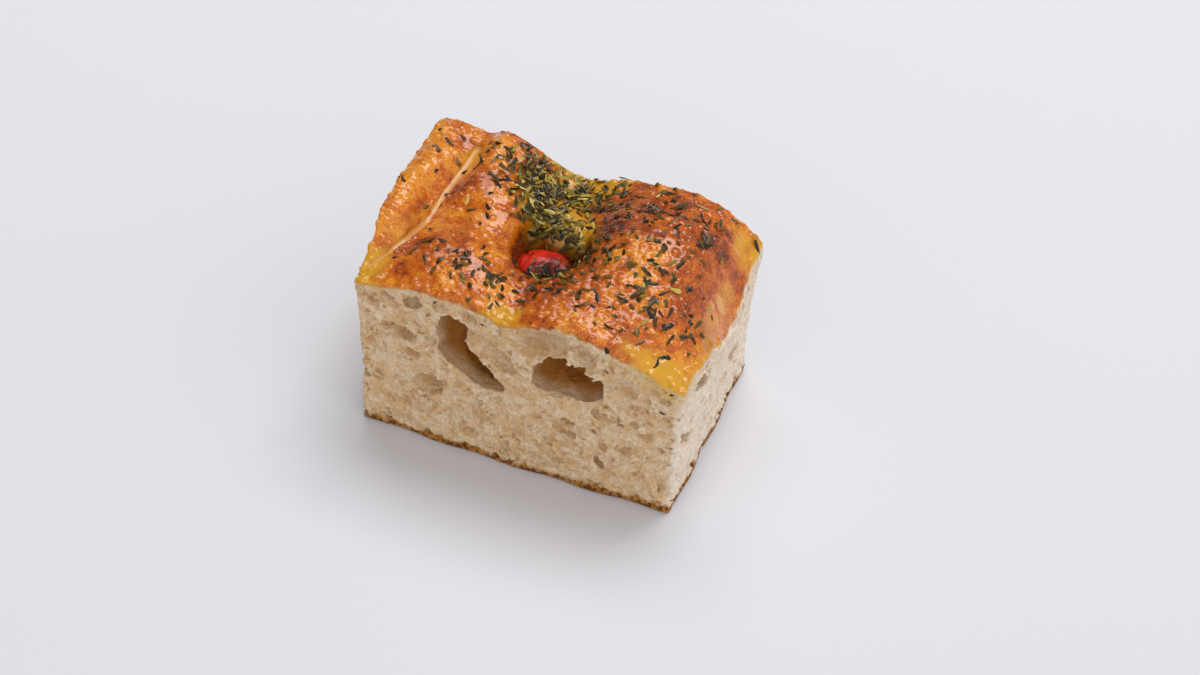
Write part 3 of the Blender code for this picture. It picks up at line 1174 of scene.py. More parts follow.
        wet = np.maximum(domes - sizes.oil_level, sizes.oil_ripple_lift * ripple)
        detail = dry + (wet - dry) * smooth_step(0.15, 0.5, oil)
        crease = smooth_step(0.2, 0.6, self.map.crease_at(x, y))
        relief = rolling + detail
        relief = relief + (-sizes.crease_depth - relief) * crease
        slope_x, slope_y = np.gradient(soften(self.height, 1.0 / self.cell), self.cell)
        upright = 1.0 / np.sqrt(1.0 + slope_x ** 2 + slope_y ** 2)
        return (relief * smooth_step(0.5, 0.85, upright)).astype(np.float32)

    def _dome(self, relief: Array, cx: float, cy: float, size: float, lift: float) -> None:
        """Add one round blister to the relief.

        Args:
            relief: the relief over places in plan, changed in place.
            cx: the blister's middle along the long side.
            cy: its middle along the short side.
            size: its radius.
            lift: its height.
        """
        i = int(round((cx - self.axes[0][0]) / self.cell))
        j = int(round((cy - self.axes[1][0]) / self.cell))
        wide = int(math.ceil(size / self.cell)) + 1
        rows = slice(max(i - wide, 0), min(i + wide + 1, relief.shape[0]))
        columns = slice(max(j - wide, 0), min(j + wide + 1, relief.shape[1]))
        if rows.start >= rows.stop or columns.start >= columns.stop:
            return
        off_x, off_y = self.plan_x[rows, columns] - cx, self.plan_y[rows, columns] - cy
        away = (off_x ** 2 + off_y ** 2) / size ** 2
        dome = lift * np.sqrt(np.clip(1.0 - away, 0.0, 1.0))
        relief[rows, columns] = np.maximum(relief[rows, columns], dome)

    def _open_pocket(self, pocket: Pocket) -> None:
        """Carve one of the large pockets of the front face.

        Args:
            pocket: the pocket's outline and depth.
        """
        place = self.sides[Region.FRONT][2]
        xs = [p[0] for p in pocket.outline]
        zs = [p[1] for p in pocket.outline]
        face = self._place_at(place, 0, sum(xs) / len(xs), sum(zs) / len(zs))
        reach = 2.0 + pocket.overhang
        box = ((min(xs) - reach, max(xs) + reach), (face - 4.0, face + pocket.depth + 1.5),
               (min(zs) - reach, max(zs) + reach))
        part = tuple(slice(int(np.searchsorted(axis, low)), int(np.searchsorted(axis, high)))
                     for axis, (low, high) in zip(self.axes, box))
        x, y, z = np.meshgrid(*(axis[cut] for axis, cut in zip(self.axes, part)), indexing="ij")
        front = place[part[0], part[2]][:, None, :]
        inward = y - front
        share = np.clip(inward / pocket.depth, 0.0, 1.2)
        x = x + self.warp[0][part] * pocket.tear
        z = z + self.warp[2][part] * pocket.tear - pocket.lean * np.maximum(inward, 0.0)
        undercut = pocket.overhang * np.sin(np.pi * np.clip(share * 1.6, 0, 1))
        need = pocket.half_width() * share ** 2.2 - undercut
        hollow = pocket.inside(x, z) - need
        hollow = np.where(inward > pocket.depth, np.minimum(hollow, pocket.depth - inward), hollow)
        self.values[part] = np.maximum(self.values[part], hollow)
        smooth_wall = smooth_step(-1.2, 0.0, hollow) * smooth_step(0.6, 2.0, inward)
        self.calm[part] = np.maximum(self.calm[part], smooth_wall)

    def _open_holes(self) -> None:
        """Carve the gas holes that the knife opened in the four cut faces."""
        self.calm = np.zeros_like(self.values)
        bend = [LatticeNoise(self.seed + 20 + n) for n in range(3)]
        self.warp = [sum(b.block(self.axes, size) * depth for size, depth in self.hole_waves)
                     for b in bend]
        for pocket in self.pockets:
            self._open_pocket(pocket)
        for axis, way, place in self.sides.values():
            for kind in self.kinds:
                self._open_kind(axis, way, place, kind)
        del self.warp

    def _open_kind(self, axis: int, way: float, place: Array, kind: HoleKind) -> None:
        """Carve one kind of hole all over one cut face.

        Args:
            axis: the axis that the face looks along.
            way: 1 if the face looks to the axis's high end, -1 if to its low end.
            place: the face's own place along the axis.
            kind: sizes and number of the holes.
        """
        across = 1 - axis
        low, high = self.solid_low[across], self.solid_high[across]
        tall = float(self.solid_high[2])
        count = int((high - low) * tall / 100.0 * kind.per_square_cm)
        for _ in range(count):
            along = self.dice.uniform(low, high)
            up = self.dice.uniform(0.6, tall)
            size = kind.smallest + (kind.largest - kind.smallest) * self.dice.uniform() ** 1.6
            sink = self.dice.uniform(*self.hole_sink) * size
            tilt = math.radians(self.dice.normal(*self.hole_tilt))
            stretch = self.dice.uniform(1.0, kind.stretch)
            centre = np.zeros(3)
            centre[across], centre[2] = along, up
            centre[axis] = self._place_at(place, across, along, up) - way * sink
            i, j = (int(round((centre[n] - self.axes[n][0]) / self.cell)) for n in (0, 1))
            i, j = np.clip(i, 0, self.height.shape[0] - 1), np.clip(j, 0, self.height.shape[1] - 1)
            if up > self.height[i, j] - kind.clear_of_crust - size * 0.7:
                continue
            if up < self.base_thickness * 0.4 + size * 0.35:
                continue
            turned = np.zeros((3, 3))
            turned[0, across], turned[0, 2] = math.cos(tilt), math.sin(tilt)
            turned[1, axis] = 1.0
            turned[2, across], turned[2, 2] = -math.sin(tilt), math.cos(tilt)
            self._carve(centre, turned, np.array([size * stretch, size, size * self.hole_flatness]))

    def _place_at(self, place: Array, across: int, along: float, up: float) -> float:
        """Where a cut face lies at a spot on it.

        Args:
            place: the face's own place along its axis.
            across: the other level axis.
            along: the spot on that axis.
            up: the spot's height.

        Returns:
            The place along the face's axis.
        """
        i = int(np.clip(round((along - self.axes[across][0]) / self.cell), 0, place.shape[0] - 1))
        k = int(np.clip(round((up - self.axes[2][0]) / self.cell), 0, place.shape[1] - 1))
        return float(place[i, k])

    def _carve(self, centre: Array, turned: Array, radii: Array) -> None:
        """Take one warped oval hole out of the bread.

        Args:
            centre: the hole's middle.
            turned: its three own axes as rows.
            radii: its radius along each of them.
        """
        far = radii.max() * 1.1 + 0.8
        start = [max(0, int((centre[n] - far - self.axes[n][0]) / self.cell)) for n in range(3)]
        stop = [min(self.values.shape[n], int((centre[n] + far - self.axes[n][0]) / self.cell) + 2)
                for n in range(3)]
        if any(a >= b for a, b in zip(start, stop)):
            return
        part = tuple(slice(a, b) for a, b in zip(start, stop))
        away = [np.float32(1.0) * self.warp[n][part] - np.float32(centre[n]) for n in range(3)]
        away[0] = away[0] + self.axes[0][part[0]][:, None, None]
        away[1] = away[1] + self.axes[1][part[1]][None, :, None]
        away[2] = away[2] + self.axes[2][part[2]][None, None, :]
        total = 0.0
        for row, radius in zip(turned, radii):
            run = sum(float(row[n]) * away[n] for n in range(3) if row[n] != 0.0) / float(radius)
            total = total + run * run
        distance = (np.sqrt(total) - 1.0) * float(radii.min())
        self.values[part] = np.maximum(self.values[part], -distance)

    def _roughen(self) -> None:
        """Give the cut crumb its fine torn sponge, and settle the base on its plane."""
        below = self.height[:, :, None] - self.axes[2][None, None, :]
        share = smooth_step(0.7, 2.2, below) * smooth_step(0.5, 1.6, self.axes[2])[None, None, :]
        noise = LatticeNoise(self.seed + 40)
        rough = sum(np.abs(noise.block(self.axes, wide)) * deep for wide, deep in self.sponge.folds)
        rough = rough + noise.block(self.axes, self.sponge.grain) * self.sponge.grain_depth
        rough = rough - self.sponge.proud
        self.values += rough * share * (1.0 - 0.7 * self.calm)
        self.values = soften(self.values, 0.35)

    def _cut_up(self) -> dict[Region, bpy.types.Object]:
        """Turn the field into a mesh and cut it into pieces.

        Returns:
            The piece of each region.
        """
        grid = openvdb.FloatGrid(self.reach)
        grid.copyFromArray(self.values, ijk=self.first)
        grid.transform = self.transform
        points, _, quads = grid.convertToPolygons(isovalue=0.0, adaptivity=0.0)
        faces = np.asarray(quads, np.int64)
        points = np.asarray(points, np.float64)
        points, faces = keep_largest(points, faces)
        faces = self._facing_out(points, faces)
        points = np.clip(points, self.solid_low, self.solid_high)
        attributes = self._attributes(points)
        regions = self._regions(points, faces)
        crust_finish = self.finish.material("oiled_focaccia_crust", True)
        crumb_finish = self.finish.material("wheat_crumb", False)
        made: dict[Region, bpy.types.Object] = {}
        for number, region in enumerate(Region):
            chosen = faces[regions == number]
            used, index = np.unique(chosen, return_inverse=True)
            finish = crust_finish if region is Region.CRUST else crumb_finish
            made[region] = new_piece(region.value, points[used], index.reshape(chosen.shape),
                                     {k: v[used] for k, v in attributes.items()}, finish)
        return made

    def _facing_out(self, points: Array, faces: Array) -> Array:
        """Turn the faces over if their normals point inwards.

        Args:
            points: N points of a closed body.
            faces: its quads.

        Returns:
            The quads, facing out.
        """
        a, b, c, d = (points[faces[:, n]] for n in range(4))
        volume = np.einsum("ij,ij->i", a, np.cross(b, c) + np.cross(c, d)).sum()
        return faces if volume > 0.0 else faces[:, ::-1]

    def _sample_plan(self, plane: Array, x: Array, y: Array) -> Array:
        """Read a map in plan at loose places.

        Args:
            plane: one value for each place of the grid in plan.
            x: places along the long side.
            y: places along the short side.

        Returns:
            One value for each place.
        """
        i = np.clip((x - self.axes[0][0]) / self.cell, 0, plane.shape[0] - 1.001)
        j = np.clip((y - self.axes[1][0]) / self.cell, 0, plane.shape[1] - 1.001)
        i0, j0 = i.astype(int), j.astype(int)
        fi, fj = i - i0, j - j0
        low = plane[i0, j0] * (1 - fj) + plane[i0, j0 + 1] * fj
        high = plane[i0 + 1, j0] * (1 - fj) + plane[i0 + 1, j0 + 1] * fj
        return low * (1 - fi) + high * fi

    def _depths(self, points: Array) -> Array:
        """Measure how deep points lie behind the four cut faces.

        Args:
            points: N points.

        Returns:
            Four rows of N depths in mm, in the order of the sides.
        """
        depths = []
        for axis, way, place in self.sides.values():
            across = 1 - axis
            i = np.round((points[:, across] - self.axes[across][0]) / self.cell)
            k = np.round((points[:, 2] - self.axes[2][0]) / self.cell)
            i = np.clip(i, 0, place.shape[0] - 1).astype(int)
            k = np.clip(k, 0, place.shape[1] - 1).astype(int)
            depths.append(way * (place[i, k] - points[:, axis]))
        return np.stack(depths)

    def _in_dimple(self, points: Array) -> Array:
        """Tell which points lie in the dimple that holds the tomato.

        Args:
            points: N points.

        Returns:
            N truths.
        """
        low, high = (np.array(c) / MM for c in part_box("tomato"))
        middle = (low + high) * 0.5
        flat = np.hypot(points[:, 0] - middle[0] - 0.6, points[:, 1] - middle[1] - 1.0)
        return (flat < self.pit_radius) & (points[:, 2] > low[2] - 1.5)

    def _attributes(self, points: Array) -> dict[str, Array]:
        """Work out the values on the points that the finish reads.

        Args:
            points: N points of the bread's skin.

        Returns:
            Names of the values, each with N numbers between 0 and 1.
        """
        noise = LatticeNoise(self.seed + 60)
        below = self._sample_plan(self.height, points[:, 0], points[:, 1]) - points[:, 2]
        skin = self.crust_thickness
        crust = 1.0 - smooth_step(skin * 0.35, skin * 1.25, below + noise.at(points, 2.2) * 0.35)
        crust = np.where(self._in_dimple(points), 1.0, crust)
        depths = self._depths(points)
        values = {"crust": crust}
        values |= self._crumb_values(points, noise, below, depths, crust)
        values |= self._crust_values(points, noise, depths.min(axis=0))
        return {name: np.clip(value, 0.0, 1.0) for name, value in values.items()}

    def _crumb_values(self, points: Array, noise: LatticeNoise, below: Array, depths: Array,
                      crust: Array) -> dict[str, Array]:
        """Say where the crumb takes painted shade in its holes, painted light on its right cut face, a
        stain of oil, or browning at the base.

        Args:
            points: N points.
            noise: the noise that breaks the tones up.
            below: their depths under the crust.
            depths: their depths behind the four cut faces.
            crust: how far each of them is crust.

        Returns:
            The crumb's values.
        """
        tone = self.toning
        x, y, z = points.T
        depth = depths.min(axis=0)
        # Painted shade in the holes, growing with depth behind the cut face.
        deep = (1.0 - tone.shallow_shade_share) * smooth_step(*tone.deep_hole_shade, depth)
        hole = (tone.shallow_shade_share * smooth_step(*tone.shallow_hole_shade, depth) + deep) * (1.0 - crust)
        # Painted light on the right cut face: paler on its outermost parts, fading into its hollows,
        # less so high up.
        upper = tone.right_light_fall * smooth_step(*tone.right_light_heights, z)
        dry = tone.right_light_strength * (1.0 - smooth_step(*tone.right_light_reach, depths[1])) * (1.0 - upper)
        wavy = z + noise.sum_at(points, tone.base_waves)
        base = 1.0 - smooth_step(self.base_thickness * 0.6, self.base_thickness * 1.3, wavy)
        stain = tone.stain.at(x, y) * (1.0 - smooth_step(*tone.stain_reach, below))
        return {"hole": hole, "dry": dry, "base": base, "stain": stain}

    def _crust_values(self, points: Array, noise: LatticeNoise, depth: Array) -> dict[str, Array]:
        """Say where the crust is oily, soaked, browned, darkened by painted shade low in the dimple, or
        creased and pale with a painted highlight.

        Args:
            points: N points.
            noise: the noise that breaks the tones up.
            depth: their depths behind the nearest cut face.

        Returns:
            The crust's values.
        """
        tone = self.toning
        x, y, z = points.T
        edge = tone.edge_soak * (1.0 - smooth_step(*tone.edge_reach, depth))
        soaked = patches_at(self.map.soaked, x, y) + edge + noise.at(points, 3.0) * 0.25
        bake = tone.even_bake + patches_at(self.map.dark, x, y) + noise.sum_at(points, tone.bake_waves)
        # Painted shade low in the dimple, strongest at its front, added to the browning so that it
        # takes the dark browns.
        front = 1.0 - smooth_step(*tone.pit_front, y)
        low = 1.0 - smooth_step(*tone.pit_heights, z)
        dimple_shade = low * (tone.dimple_shade_strength + tone.dimple_front_shade * front)
        dimple_shade = np.where(self._in_dimple(points), dimple_shade, 0.0)
        # The crease is partly crumb showing and partly a painted highlight of the oil standing in it.
        pale = self.map.crease_at(x, y) * smooth_step(-0.75, -0.35, noise.at(points, 4.0))
        pale += patches_at(self.map.pale_spots, x, y)
        return {
            "oil": patches_at(self.map.oil_pools, x, y),
            "soaked": tone.soak_limit * smooth_step(0.25, 0.95, soaked),
            # The bake value carries the browning and the painted shade in the dimple.
            "bake": bake + dimple_shade,
            "pale": tone.pale_limit * smooth_step(0.25, 0.7, pale),
        }

    def _regions(self, points: Array, faces: Array) -> Array:
        """Find the region that each face belongs to.

        Args:
            points: N points of the bread's skin.
            faces: M quads.

        Returns:
            M numbers that count through Region in its own order.
        """
        corners = points[faces]
        middle = corners.mean(axis=1)
        normal = np.cross(corners[:, 2] - corners[:, 0], corners[:, 3] - corners[:, 1])
        normal /= np.maximum(np.linalg.norm(normal, axis=1, keepdims=True), 1e-9)
        below = self._sample_plan(self.height, middle[:, 0], middle[:, 1]) - middle[:, 2]
        order = list(Region)
        region = self._depths(middle).argmin(axis=0) + order.index(Region.FRONT)
        on_top = (below < 0.8) & (normal[:, 2] > 0.35)
        underneath = (middle[:, 2] < 0.5) & (normal[:, 2] < -0.6)
        region[on_top | self._in_dimple(middle)] = order.index(Region.CRUST)
        region[underneath] = order.index(Region.BASE)
        return region


# ---------------------------------------------------------------- the tomato


@dataclass
class Tomato:
    """The roasted tomato, collapsed into folds, in the frame's own place."""

    around: int = 210
    rings: int = 105
    folds: int = 6
    fold_depth: float = 0.03
    wrinkle_depth: float = 0.06
    sunk_at: tuple[float, float] = (0.30, -0.50)
    sunk_depth: float = 0.26
    seed: int = 5
    finish: TomatoFinish = field(default_factory=TomatoFinish)

    def build(self) -> bpy.types.Object:
        """Model the wrinkled skin and dress it. Depths are shares of the radius.

        Returns:
            The tomato.
        """
        low, high = (np.array(c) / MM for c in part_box("tomato"))
        middle, half = (low + high) * 0.5, (high - low) * 0.5
        turn = np.linspace(0.0, math.tau, self.around, endpoint=False)
        rise = np.linspace(-math.pi / 2, math.pi / 2, self.rings)
        lon, lat = np.meshgrid(turn, rise, indexing="xy")
        level = np.cos(lat)
        direction = np.stack([level * np.cos(lon), level * np.sin(lon), np.sin(lat)], axis=-1)
        direction = direction.reshape(-1, 3)
        noise = LatticeNoise(self.seed)
        swirl = noise.at(direction * 10.0 + 40.0, 5.0) * 1.2
        crease = np.cos(self.folds * lon.ravel() + 2.6 * swirl + 1.5 * np.sin(2 * lon.ravel()))
        crease = 1.0 - np.abs(crease)
        up = np.clip(direction[:, 2], 0.0, 1.0)
        wrinkled = direction * np.array([10.0, 3.6, 8.0]) + swirl[:, None] * 0.8
        fine = 1.0 - np.abs(noise.at(wrinkled, 3.2))
        depth = self.fold_depth * crease ** 2 * (1.0 - up) + self.wrinkle_depth * fine ** 3
        off_x, off_y = direction[:, 0] - self.sunk_at[0], direction[:, 1] - self.sunk_at[1]
        sunken = self.sunk_depth * np.exp(-(off_x ** 2 + off_y ** 2) / 0.20) * (up > 0.0)
        radius = 1.0 - depth - sunken
        points = middle + direction * half * radius[:, None]
        faces = self._faces()
        cloud = noise.at(direction * 10.0, 4.0) * 0.2
        # fold falls as painted shade in the wrinkles and the sunken hollow; the cloud is the skin's own
        # tone.
        fold = np.clip(1.1 - depth * 6.0 - sunken * 3.6 + cloud, 0.0, 1.0)
        # Painted shade over the tomato's right front side.
        right_front_shade = smooth_step(-0.25, 0.4, direction[:, 0] - 0.5 * direction[:, 1])
        fold = fold * (1.0 - 0.92 * right_front_shade)
        return new_piece("roasted_tomato", points, faces, {"fold": fold}, self.finish.material())

    def _faces(self) -> Array:
        """Make the net of the ball, its poles closed by rings of points that meet.

        Returns:
            Quads as rows of point numbers.
        """
        rows, columns = np.indices((self.rings - 1, self.around))
        following = (columns + 1) % self.around
        a = rows * self.around + columns
        b = rows * self.around + following
        return np.stack([a, b, b + self.around, a + self.around], axis=-1).reshape(-1, 4)


# ---------------------------------------------------------------- the herbs


@dataclass(frozen=True)
class Sprinkle:
    """A scatter of flakes round one spot of the crust."""

    x: float
    y: float
    spread_x: float
    spread_y: float
    count: int
    heap: float = 0.0
    longest: float = 3.2


@dataclass(frozen=True)
class Stray:
    """A flake stuck to the front cut face, turned by degrees from the level."""

    x: float
    z: float
    length: float
    width: float
    turn: float


@dataclass
class Herbs:
    """Chopped dried herbs strewn on the oily crust, one joined mesh for each kind."""

    scatters: tuple[Sprinkle, ...] = (
        Sprinkle(-15.5, 22.0, 4.2, 5.2, 150, 1.4, 4.4),
        Sprinkle(-7.5, 25.0, 6.0, 4.6, 120, 1.1, 4.2),
        Sprinkle(-10.5, 13.0, 4.2, 3.4, 100, 1.2, 3.8),
        Sprinkle(-4.5, 9.5, 4.6, 1.6, 60, 1.0, 3.8),
        Sprinkle(-3.0, 6.8, 5.0, 1.0, 44, 0.5, 3.0),
        Sprinkle(3.0, 27.0, 4.0, 3.4, 30, 0.5),
        Sprinkle(0.4, -8.2, 4.6, 2.2, 74, 0.7, 3.2),
        Sprinkle(2.0, -4.5, 3.4, 2.2, 16, 0.2, 3.0),
        Sprinkle(-14.5, -21.5, 6.5, 3.6, 42, 0.2, 2.8),
        Sprinkle(6.0, -17.0, 7.0, 5.0, 58, 0.1, 3.0),
        Sprinkle(17.0, 18.0, 8.0, 8.0, 62, 0.3, 3.2),
        Sprinkle(32.0, 16.0, 7.0, 9.0, 44, 0.3, 4.4),
        Sprinkle(26.0, -6.0, 9.0, 9.0, 74, 0.3, 3.6),
        Sprinkle(35.0, -18.0, 7.0, 6.0, 36, 0.1, 3.6),
        Sprinkle(11.0, 0.0, 4.0, 6.0, 34, 0.5, 3.2),
        Sprinkle(-28.0, 25.0, 7.0, 6.0, 20, 0.0, 3.6),
        Sprinkle(-28.0, -20.0, 6.0, 4.0, 12, 0.0, 2.6),
        Sprinkle(-43.0, 18.0, 4.0, 10.0, 11, 0.0, 4.4),
        Sprinkle(-25.0, 12.0, 3.0, 5.0, 7),
        Sprinkle(5.0, 0.0, 28.0, 20.0, 46, 0.0, 1.6),
    )
    strays: tuple[Stray, ...] = (
        Stray(-8.8, 49.3, 1.7, 0.9, -35.0),
        Stray(44.3, 37.5, 1.6, 0.8, -20.0),
        Stray(46.4, 44.6, 1.4, 0.7, 10.0),
        Stray(-22.9, 51.4, 1.0, 0.6, 30.0),
        Stray(-43.8, 1.5, 3.0, 0.6, -3.0),
    )
    seed: int = 23
    stations: int = 6
    round_points: int = 4
    shortest: float = 1.3
    narrowest: float = 0.7
    widest: float = 1.45
    flatness: float = 0.36
    leaf: HerbFinish = HerbFinish("dried_rosemary", "161004", "6a5412")
    stalk: HerbFinish = HerbFinish("dried_herb_stalk", "86701c", "c8b050")

    def build(self, ground: list[bpy.types.Object], wall: bpy.types.Object, low: Array,
              high: Array) -> list[bpy.types.Object]:
        """Strew the flakes.

        Args:
            ground: the pieces that the flakes lie on.
            wall: the front cut face, to which a few flakes stick.
            low: lowest corner in mm of the box that the flakes stay in.
            high: highest corner of that box.

        Returns:
            One piece of green flakes and one of pale stalks.
        """
        self.dice = np.random.default_rng(self.seed)
        self.low, self.high = low, high
        tree = self._ground_tree(ground)
        green: list[tuple[Array, float]] = []
        straw: list[tuple[Array, float]] = []
        for scatter in self.scatters:
            for _ in range(scatter.count):
                flake = self._flake(tree, scatter)
                if flake is None:
                    continue
                pale = self.dice.uniform() < (0.36 if scatter.heap > 0.9 else 0.07)
                (straw if pale else green).append((flake, self.dice.uniform() ** 1.5))
        wall_tree = self._ground_tree([wall])
        green += [(self._stick(wall_tree, stray), 0.1) for stray in self.strays]
        return [self._join("herb_leaves", green, self.leaf.material()),
                self._join("herb_stalks", straw, self.stalk.material())]

    def _ground_tree(self, ground: list[bpy.types.Object]) -> BVHTree:
        """Make one search tree over everything that a flake can lie on.

        Args:
            ground: the pieces.

        Returns:
            The tree, in millimetres.
        """
        points: list[Vector] = []
        faces: list[tuple[int, ...]] = []
        for thing in ground:
            start = len(points)
            points += [v.co / MM for v in thing.data.vertices]
            faces += [tuple(start + n for n in p.vertices) for p in thing.data.polygons]
        return BVHTree.FromPolygons(points, faces)

    def _stick(self, tree: BVHTree, stray: Stray) -> Array:
        """Stick one flake to the front cut face.

        Args:
            tree: search tree of the face.
            stray: the flake's spot and sizes.

        Returns:
            The flake's rings of points.
        """
        place, normal, _, _ = tree.ray_cast(Vector((stray.x, -90.0, stray.z)), Vector((0.0, 1.0, 0.0)))
        turn = math.radians(stray.turn)
        return self._lay(place, normal, Vector((math.cos(turn), 0.0, math.sin(turn))), 0.0,
                         (stray.length, stray.width, 0.2))

    def _flake(self, tree: BVHTree, scatter: Sprinkle) -> Array | None:
        """Drop one flake on the ground.

        Args:
            tree: search tree of the ground.
            scatter: where and how the flake falls.

        Returns:
            The flake's rings of points, or None if it would miss the crust.
        """
        x = self.dice.normal(scatter.x, scatter.spread_x)
        y = self.dice.normal(scatter.y, scatter.spread_y)
        spread = scatter.longest * 1.15 - self.shortest
        length = self.shortest + spread * self.dice.uniform() ** 1.1
        width = self.dice.uniform(self.narrowest, self.widest)
        yaw = self.dice.uniform(0.0, math.tau)
        lift = self.dice.uniform(0.0, scatter.heap)
        tilt = self.dice.normal(0.0, 0.08 + 0.16 * min(scatter.heap, 1.0))
        bend = self.dice.normal(0.0, 0.5)
        place, normal, _, _ = tree.ray_cast(Vector((x, y, 90.0)), Vector((0.0, 0.0, -1.0)))
        if place is None or normal.z < 0.1:
            return None
        along = Vector((math.cos(yaw), math.sin(yaw), 0.0))
        return self._lay(place + normal * lift, normal, along, tilt, (length, width, bend))

    def _lay(self, place: Vector, normal: Vector, along: Vector, tilt: float,
             sizes: tuple[float, float, float]) -> Array:
        """Lay one flake flat on a spot of the surface.

        Args:
            place: the spot, in millimetres.
            normal: the surface's direction there.
            along: the way the flake should point.
            tilt: how far one end rises, in radians.
            sizes: the flake's length, width and bend.

        Returns:
            The flake's rings of points, moved inside the box if they stood out of it.
        """
        length, width, bend = sizes
        along = (along - normal * along.dot(normal)).normalized()
        along = (along + normal * math.tan(tilt)).normalized()
        side = normal.cross(along).normalized()
        up = along.cross(side)
        thick = width * self.flatness
        centre = place + normal * (thick * 0.4)
        flake = self._rings(np.array(centre), np.array(along), np.array(side), np.array(up),
                            length, width, thick, bend)
        flake -= np.maximum(flake.max(axis=0) - self.high, 0.0)
        flake += np.maximum(self.low - flake.min(axis=0), 0.0)
        return flake

    def _rings(self, centre: Array, along: Array, side: Array, up: Array, length: float,
               width: float, thick: float, bend: float) -> Array:
        """Shape a tapered, slightly bent needle.

        Args:
            centre: its middle.
            along: its own direction.
            side: the way across it.
            up: the way out of the ground.
            length: its length.
            width: its greatest width.
            thick: its greatest thickness.
            bend: how far it bows, as a share of its length.

        Returns:
            Its rings of points, one ring after another.
        """
        turn = np.linspace(0.0, math.tau, self.round_points, endpoint=False)
        rings = []
        # The first end is cut off blunt, the other tapers to a quarter of the width.
        for share in np.linspace(-0.5, 0.5, self.stations):
            taper = (1.0 - 0.72 * (share + 0.5) ** 2.2) * (0.62 + 0.38 * (share > -0.4))
            taper *= self.dice.uniform(0.8, 1.15)
            bow = bend * (0.25 - share * share) * length * 0.5
            middle = centre + along * share * length + side * bow
            ring = (middle + np.outer(np.cos(turn) * width * 0.5 * taper, side)
                    + np.outer(np.sin(turn) * thick * 0.5 * taper, up))
            rings.append(ring)
        return np.concatenate(rings)

    def _join(self, name: str, flakes: list[tuple[Array, float]],
              material: bpy.types.Material) -> bpy.types.Object:
        """Join flakes into one piece, each with its own tint.

        Args:
            name: the piece's name.
            flakes: rings of points and tint of each flake.
            material: the piece's finish.

        Returns:
            The piece.
        """
        each = self.stations * self.round_points
        rows, columns = np.indices((self.stations - 1, self.round_points))
        following = (columns + 1) % self.round_points
        a = rows * self.round_points + columns
        b = rows * self.round_points + following
        net = np.stack([a, a + self.round_points, b + self.round_points, b], axis=-1).reshape(-1, 4)
        points = np.concatenate([flake for flake, _ in flakes])
        faces = np.concatenate([net + each * n for n in range(len(flakes))])
        tint = np.repeat([t for _, t in flakes], each)
        return self._capped(new_piece(name, points, faces, {"tint": tint}, material))

    def _capped(self, thing: bpy.types.Object) -> bpy.types.Object:
        """Close the open ends of every flake, and keep their facets crisp.

        Args:
            thing: the joined flakes.

        Returns:
            The same object.
        """
        shape = bmesh.new()
        shape.from_mesh(thing.data)
        bmesh.ops.holes_fill(shape, edges=shape.edges, sides=self.round_points)
        bmesh.ops.recalc_face_normals(shape, faces=shape.faces)
        shape.to_mesh(thing.data)
        shape.free()
        thing.data.shade_flat()
        return thing


# ---------------------------------------------------------------- studio


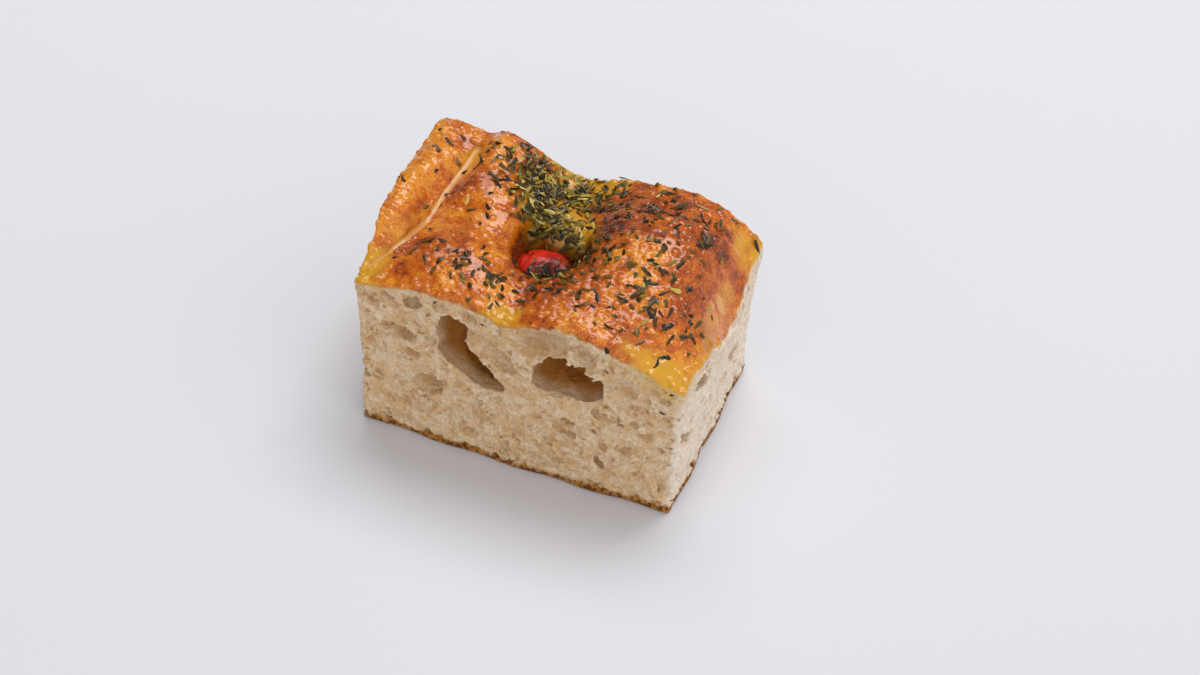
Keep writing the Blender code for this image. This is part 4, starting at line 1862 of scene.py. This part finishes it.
@dataclass
class Studio:
    """A pale table, two soft white lamps high up behind the bread, a dim sky, and the camera."""

    target: tuple[float, float, float] = (5.16, 25.70, 0.0)
    azimuth: float = 18.94
    elevation: float = 43.0
    roll: float = 3.70
    distance: float = 611.3
    lens: float = 60.0
    film_width: float = 36.0
    table: str = "dadae0"
    sky: str = "e8e8ee"
    lamp_aim: tuple[float, float, float] = (0.0, 0.0, 30.0)
    key_place: tuple[float, float, float] = (220.0, 990.0, 2070.0)
    key_size: float = 1150.0
    key_radiance: float = 6.2
    side_place: tuple[float, float, float] = (-750.0, 1080.0, 1880.0)
    side_size: float = 900.0
    side_radiance: float = 3.1
    sky_bright: float = 1.05
    sky_dim: float = 0.17
    sky_side: tuple[float, float, float] = (0.72, -0.69, -0.05)

    def build(self) -> None:
        """Set the table, the lamps, the world, the camera and the view transform."""
        self._camera()
        self._lamp("key", self.key_place, self.key_size, self.key_radiance)
        self._lamp("side", self.side_place, self.side_size, self.side_radiance)
        self._world()
        self._floor()
        bpy.context.scene.view_settings.view_transform = "Standard"

    def _camera(self) -> None:
        """Place the camera on its line of sight, rolled a little."""
        az, el, roll = (math.radians(a) for a in (self.azimuth, self.elevation, self.roll))
        ahead = Vector((-math.sin(az) * math.cos(el), math.cos(az) * math.cos(el), -math.sin(el)))
        right = Vector((math.cos(az), math.sin(az), 0.0))
        up = right.cross(ahead)
        turned_right = math.cos(roll) * right + math.sin(roll) * up
        turned_up = math.cos(roll) * up - math.sin(roll) * right
        lens = bpy.data.cameras.new("camera")
        lens.lens = self.lens
        lens.sensor_width = self.film_width
        lens.clip_start = 0.01
        camera = bpy.data.objects.new("camera", lens)
        place = (Vector(self.target) - ahead * self.distance) * MM
        axes = Matrix((turned_right, turned_up, -ahead)).transposed().to_4x4()
        camera.matrix_world = Matrix.Translation(place) @ axes
        bpy.context.scene.collection.objects.link(camera)
        bpy.context.scene.camera = camera

    def _lamp(self, name: str, place: tuple[float, float, float], size: float, radiance: float) -> None:
        """Hang a square soft lamp that looks at the bread.

        Args:
            name: the lamp's name.
            place: where it hangs.
            size: length of its sides.
            radiance: brightness of its face, in watts per square metre and steradian.
        """
        light = bpy.data.lights.new(name, "AREA")
        light.size = size * MM
        light.energy = radiance * math.pi * (size * MM) ** 2
        lamp = bpy.data.objects.new(name, light)
        lamp.location = Vector(place) * MM
        aim = Vector(self.lamp_aim) * MM - lamp.location
        lamp.rotation_euler = aim.to_track_quat("-Z", "Y").to_euler()
        bpy.context.scene.collection.objects.link(lamp)

    def _world(self) -> None:
        """Soft white light, brightest from the front right, and the pale backdrop in view."""
        world = bpy.data.worlds.new("studio")
        bpy.context.scene.world = world
        world.use_nodes = True
        tree = world.node_tree
        tree.nodes.clear()
        path = add_node(tree, "LightPath")
        way = add_node(tree, "TexCoord").outputs["Generated"]
        facing = add_node(tree, "VectorMath", {"operation": "DOT_PRODUCT"}, {0: way, 1: self.sky_side})
        strength = add_node(tree, "MapRange", None, {"Value": facing.outputs["Value"], "From Min": -0.6,
                                                     "From Max": 0.7, "To Min": self.sky_dim,
                                                     "To Max": self.sky_bright}).outputs["Result"]
        light = add_node(tree, "Background", None, {"Color": linear("ffffff"), "Strength": strength})
        seen = add_node(tree, "Background", None, {"Color": linear(self.sky), "Strength": 1.0})
        # Mirrored rays keep the dim sky: a white one would lay a grey veil over the oiled crust.
        direct = add_node(tree, "Math", {"operation": "MAXIMUM"},
                          {0: path.outputs["Is Camera Ray"], 1: path.outputs["Is Transmission Ray"]})
        mix = add_node(tree, "MixShader", None, {0: direct.outputs[0], 1: light.outputs[0],
                                                 2: seen.outputs[0]})
        add_node(tree, "OutputWorld", None, {"Surface": mix.outputs[0]})

    def _floor(self) -> None:
        """A wide pale table top."""
        bpy.ops.mesh.primitive_plane_add(size=4.0)
        floor = bpy.context.object
        floor.name = "table_top"
        made = bpy.data.materials.new("matt_white_table")
        made.use_nodes = True
        shader = made.node_tree.nodes["Principled BSDF"]
        shader.inputs["Base Color"].default_value = linear(self.table)
        shader.inputs["Roughness"].default_value = 0.7
        floor.data.materials.append(made)
        floor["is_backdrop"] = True


def clear_scene() -> None:
    """Remove the objects that the scene starts with."""
    for thing in list(bpy.data.objects):
        bpy.data.objects.remove(thing, do_unlink=True)


def report(piece: bpy.types.Object) -> None:
    """Log a finished piece."""
    LOG.info("%s: %d faces", piece.name, len(piece.data.polygons))


def main() -> None:
    """Dress the frame: bread, tomato, herbs and studio."""
    logging.basicConfig(level=logging.INFO, format="%(name)s: %(message)s")
    clear_scene()
    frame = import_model()
    cad_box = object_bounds()
    bread = Bread().build(frame["nodes"]["bread"])
    for region, piece in bread.items():
        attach(piece, "root")
        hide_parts("bread")
        report(piece)
    tomato = Tomato().build()
    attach(tomato, "root")
    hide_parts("tomato")
    report(tomato)
    low, high = (np.array(corner) / MM for corner in cad_box)
    for piece in Herbs().build([bread[Region.CRUST], tomato], bread[Region.FRONT], low, high):
        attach(piece, "root")
        report(piece)
    Studio().build()


if __name__ == "__main__":
    main()
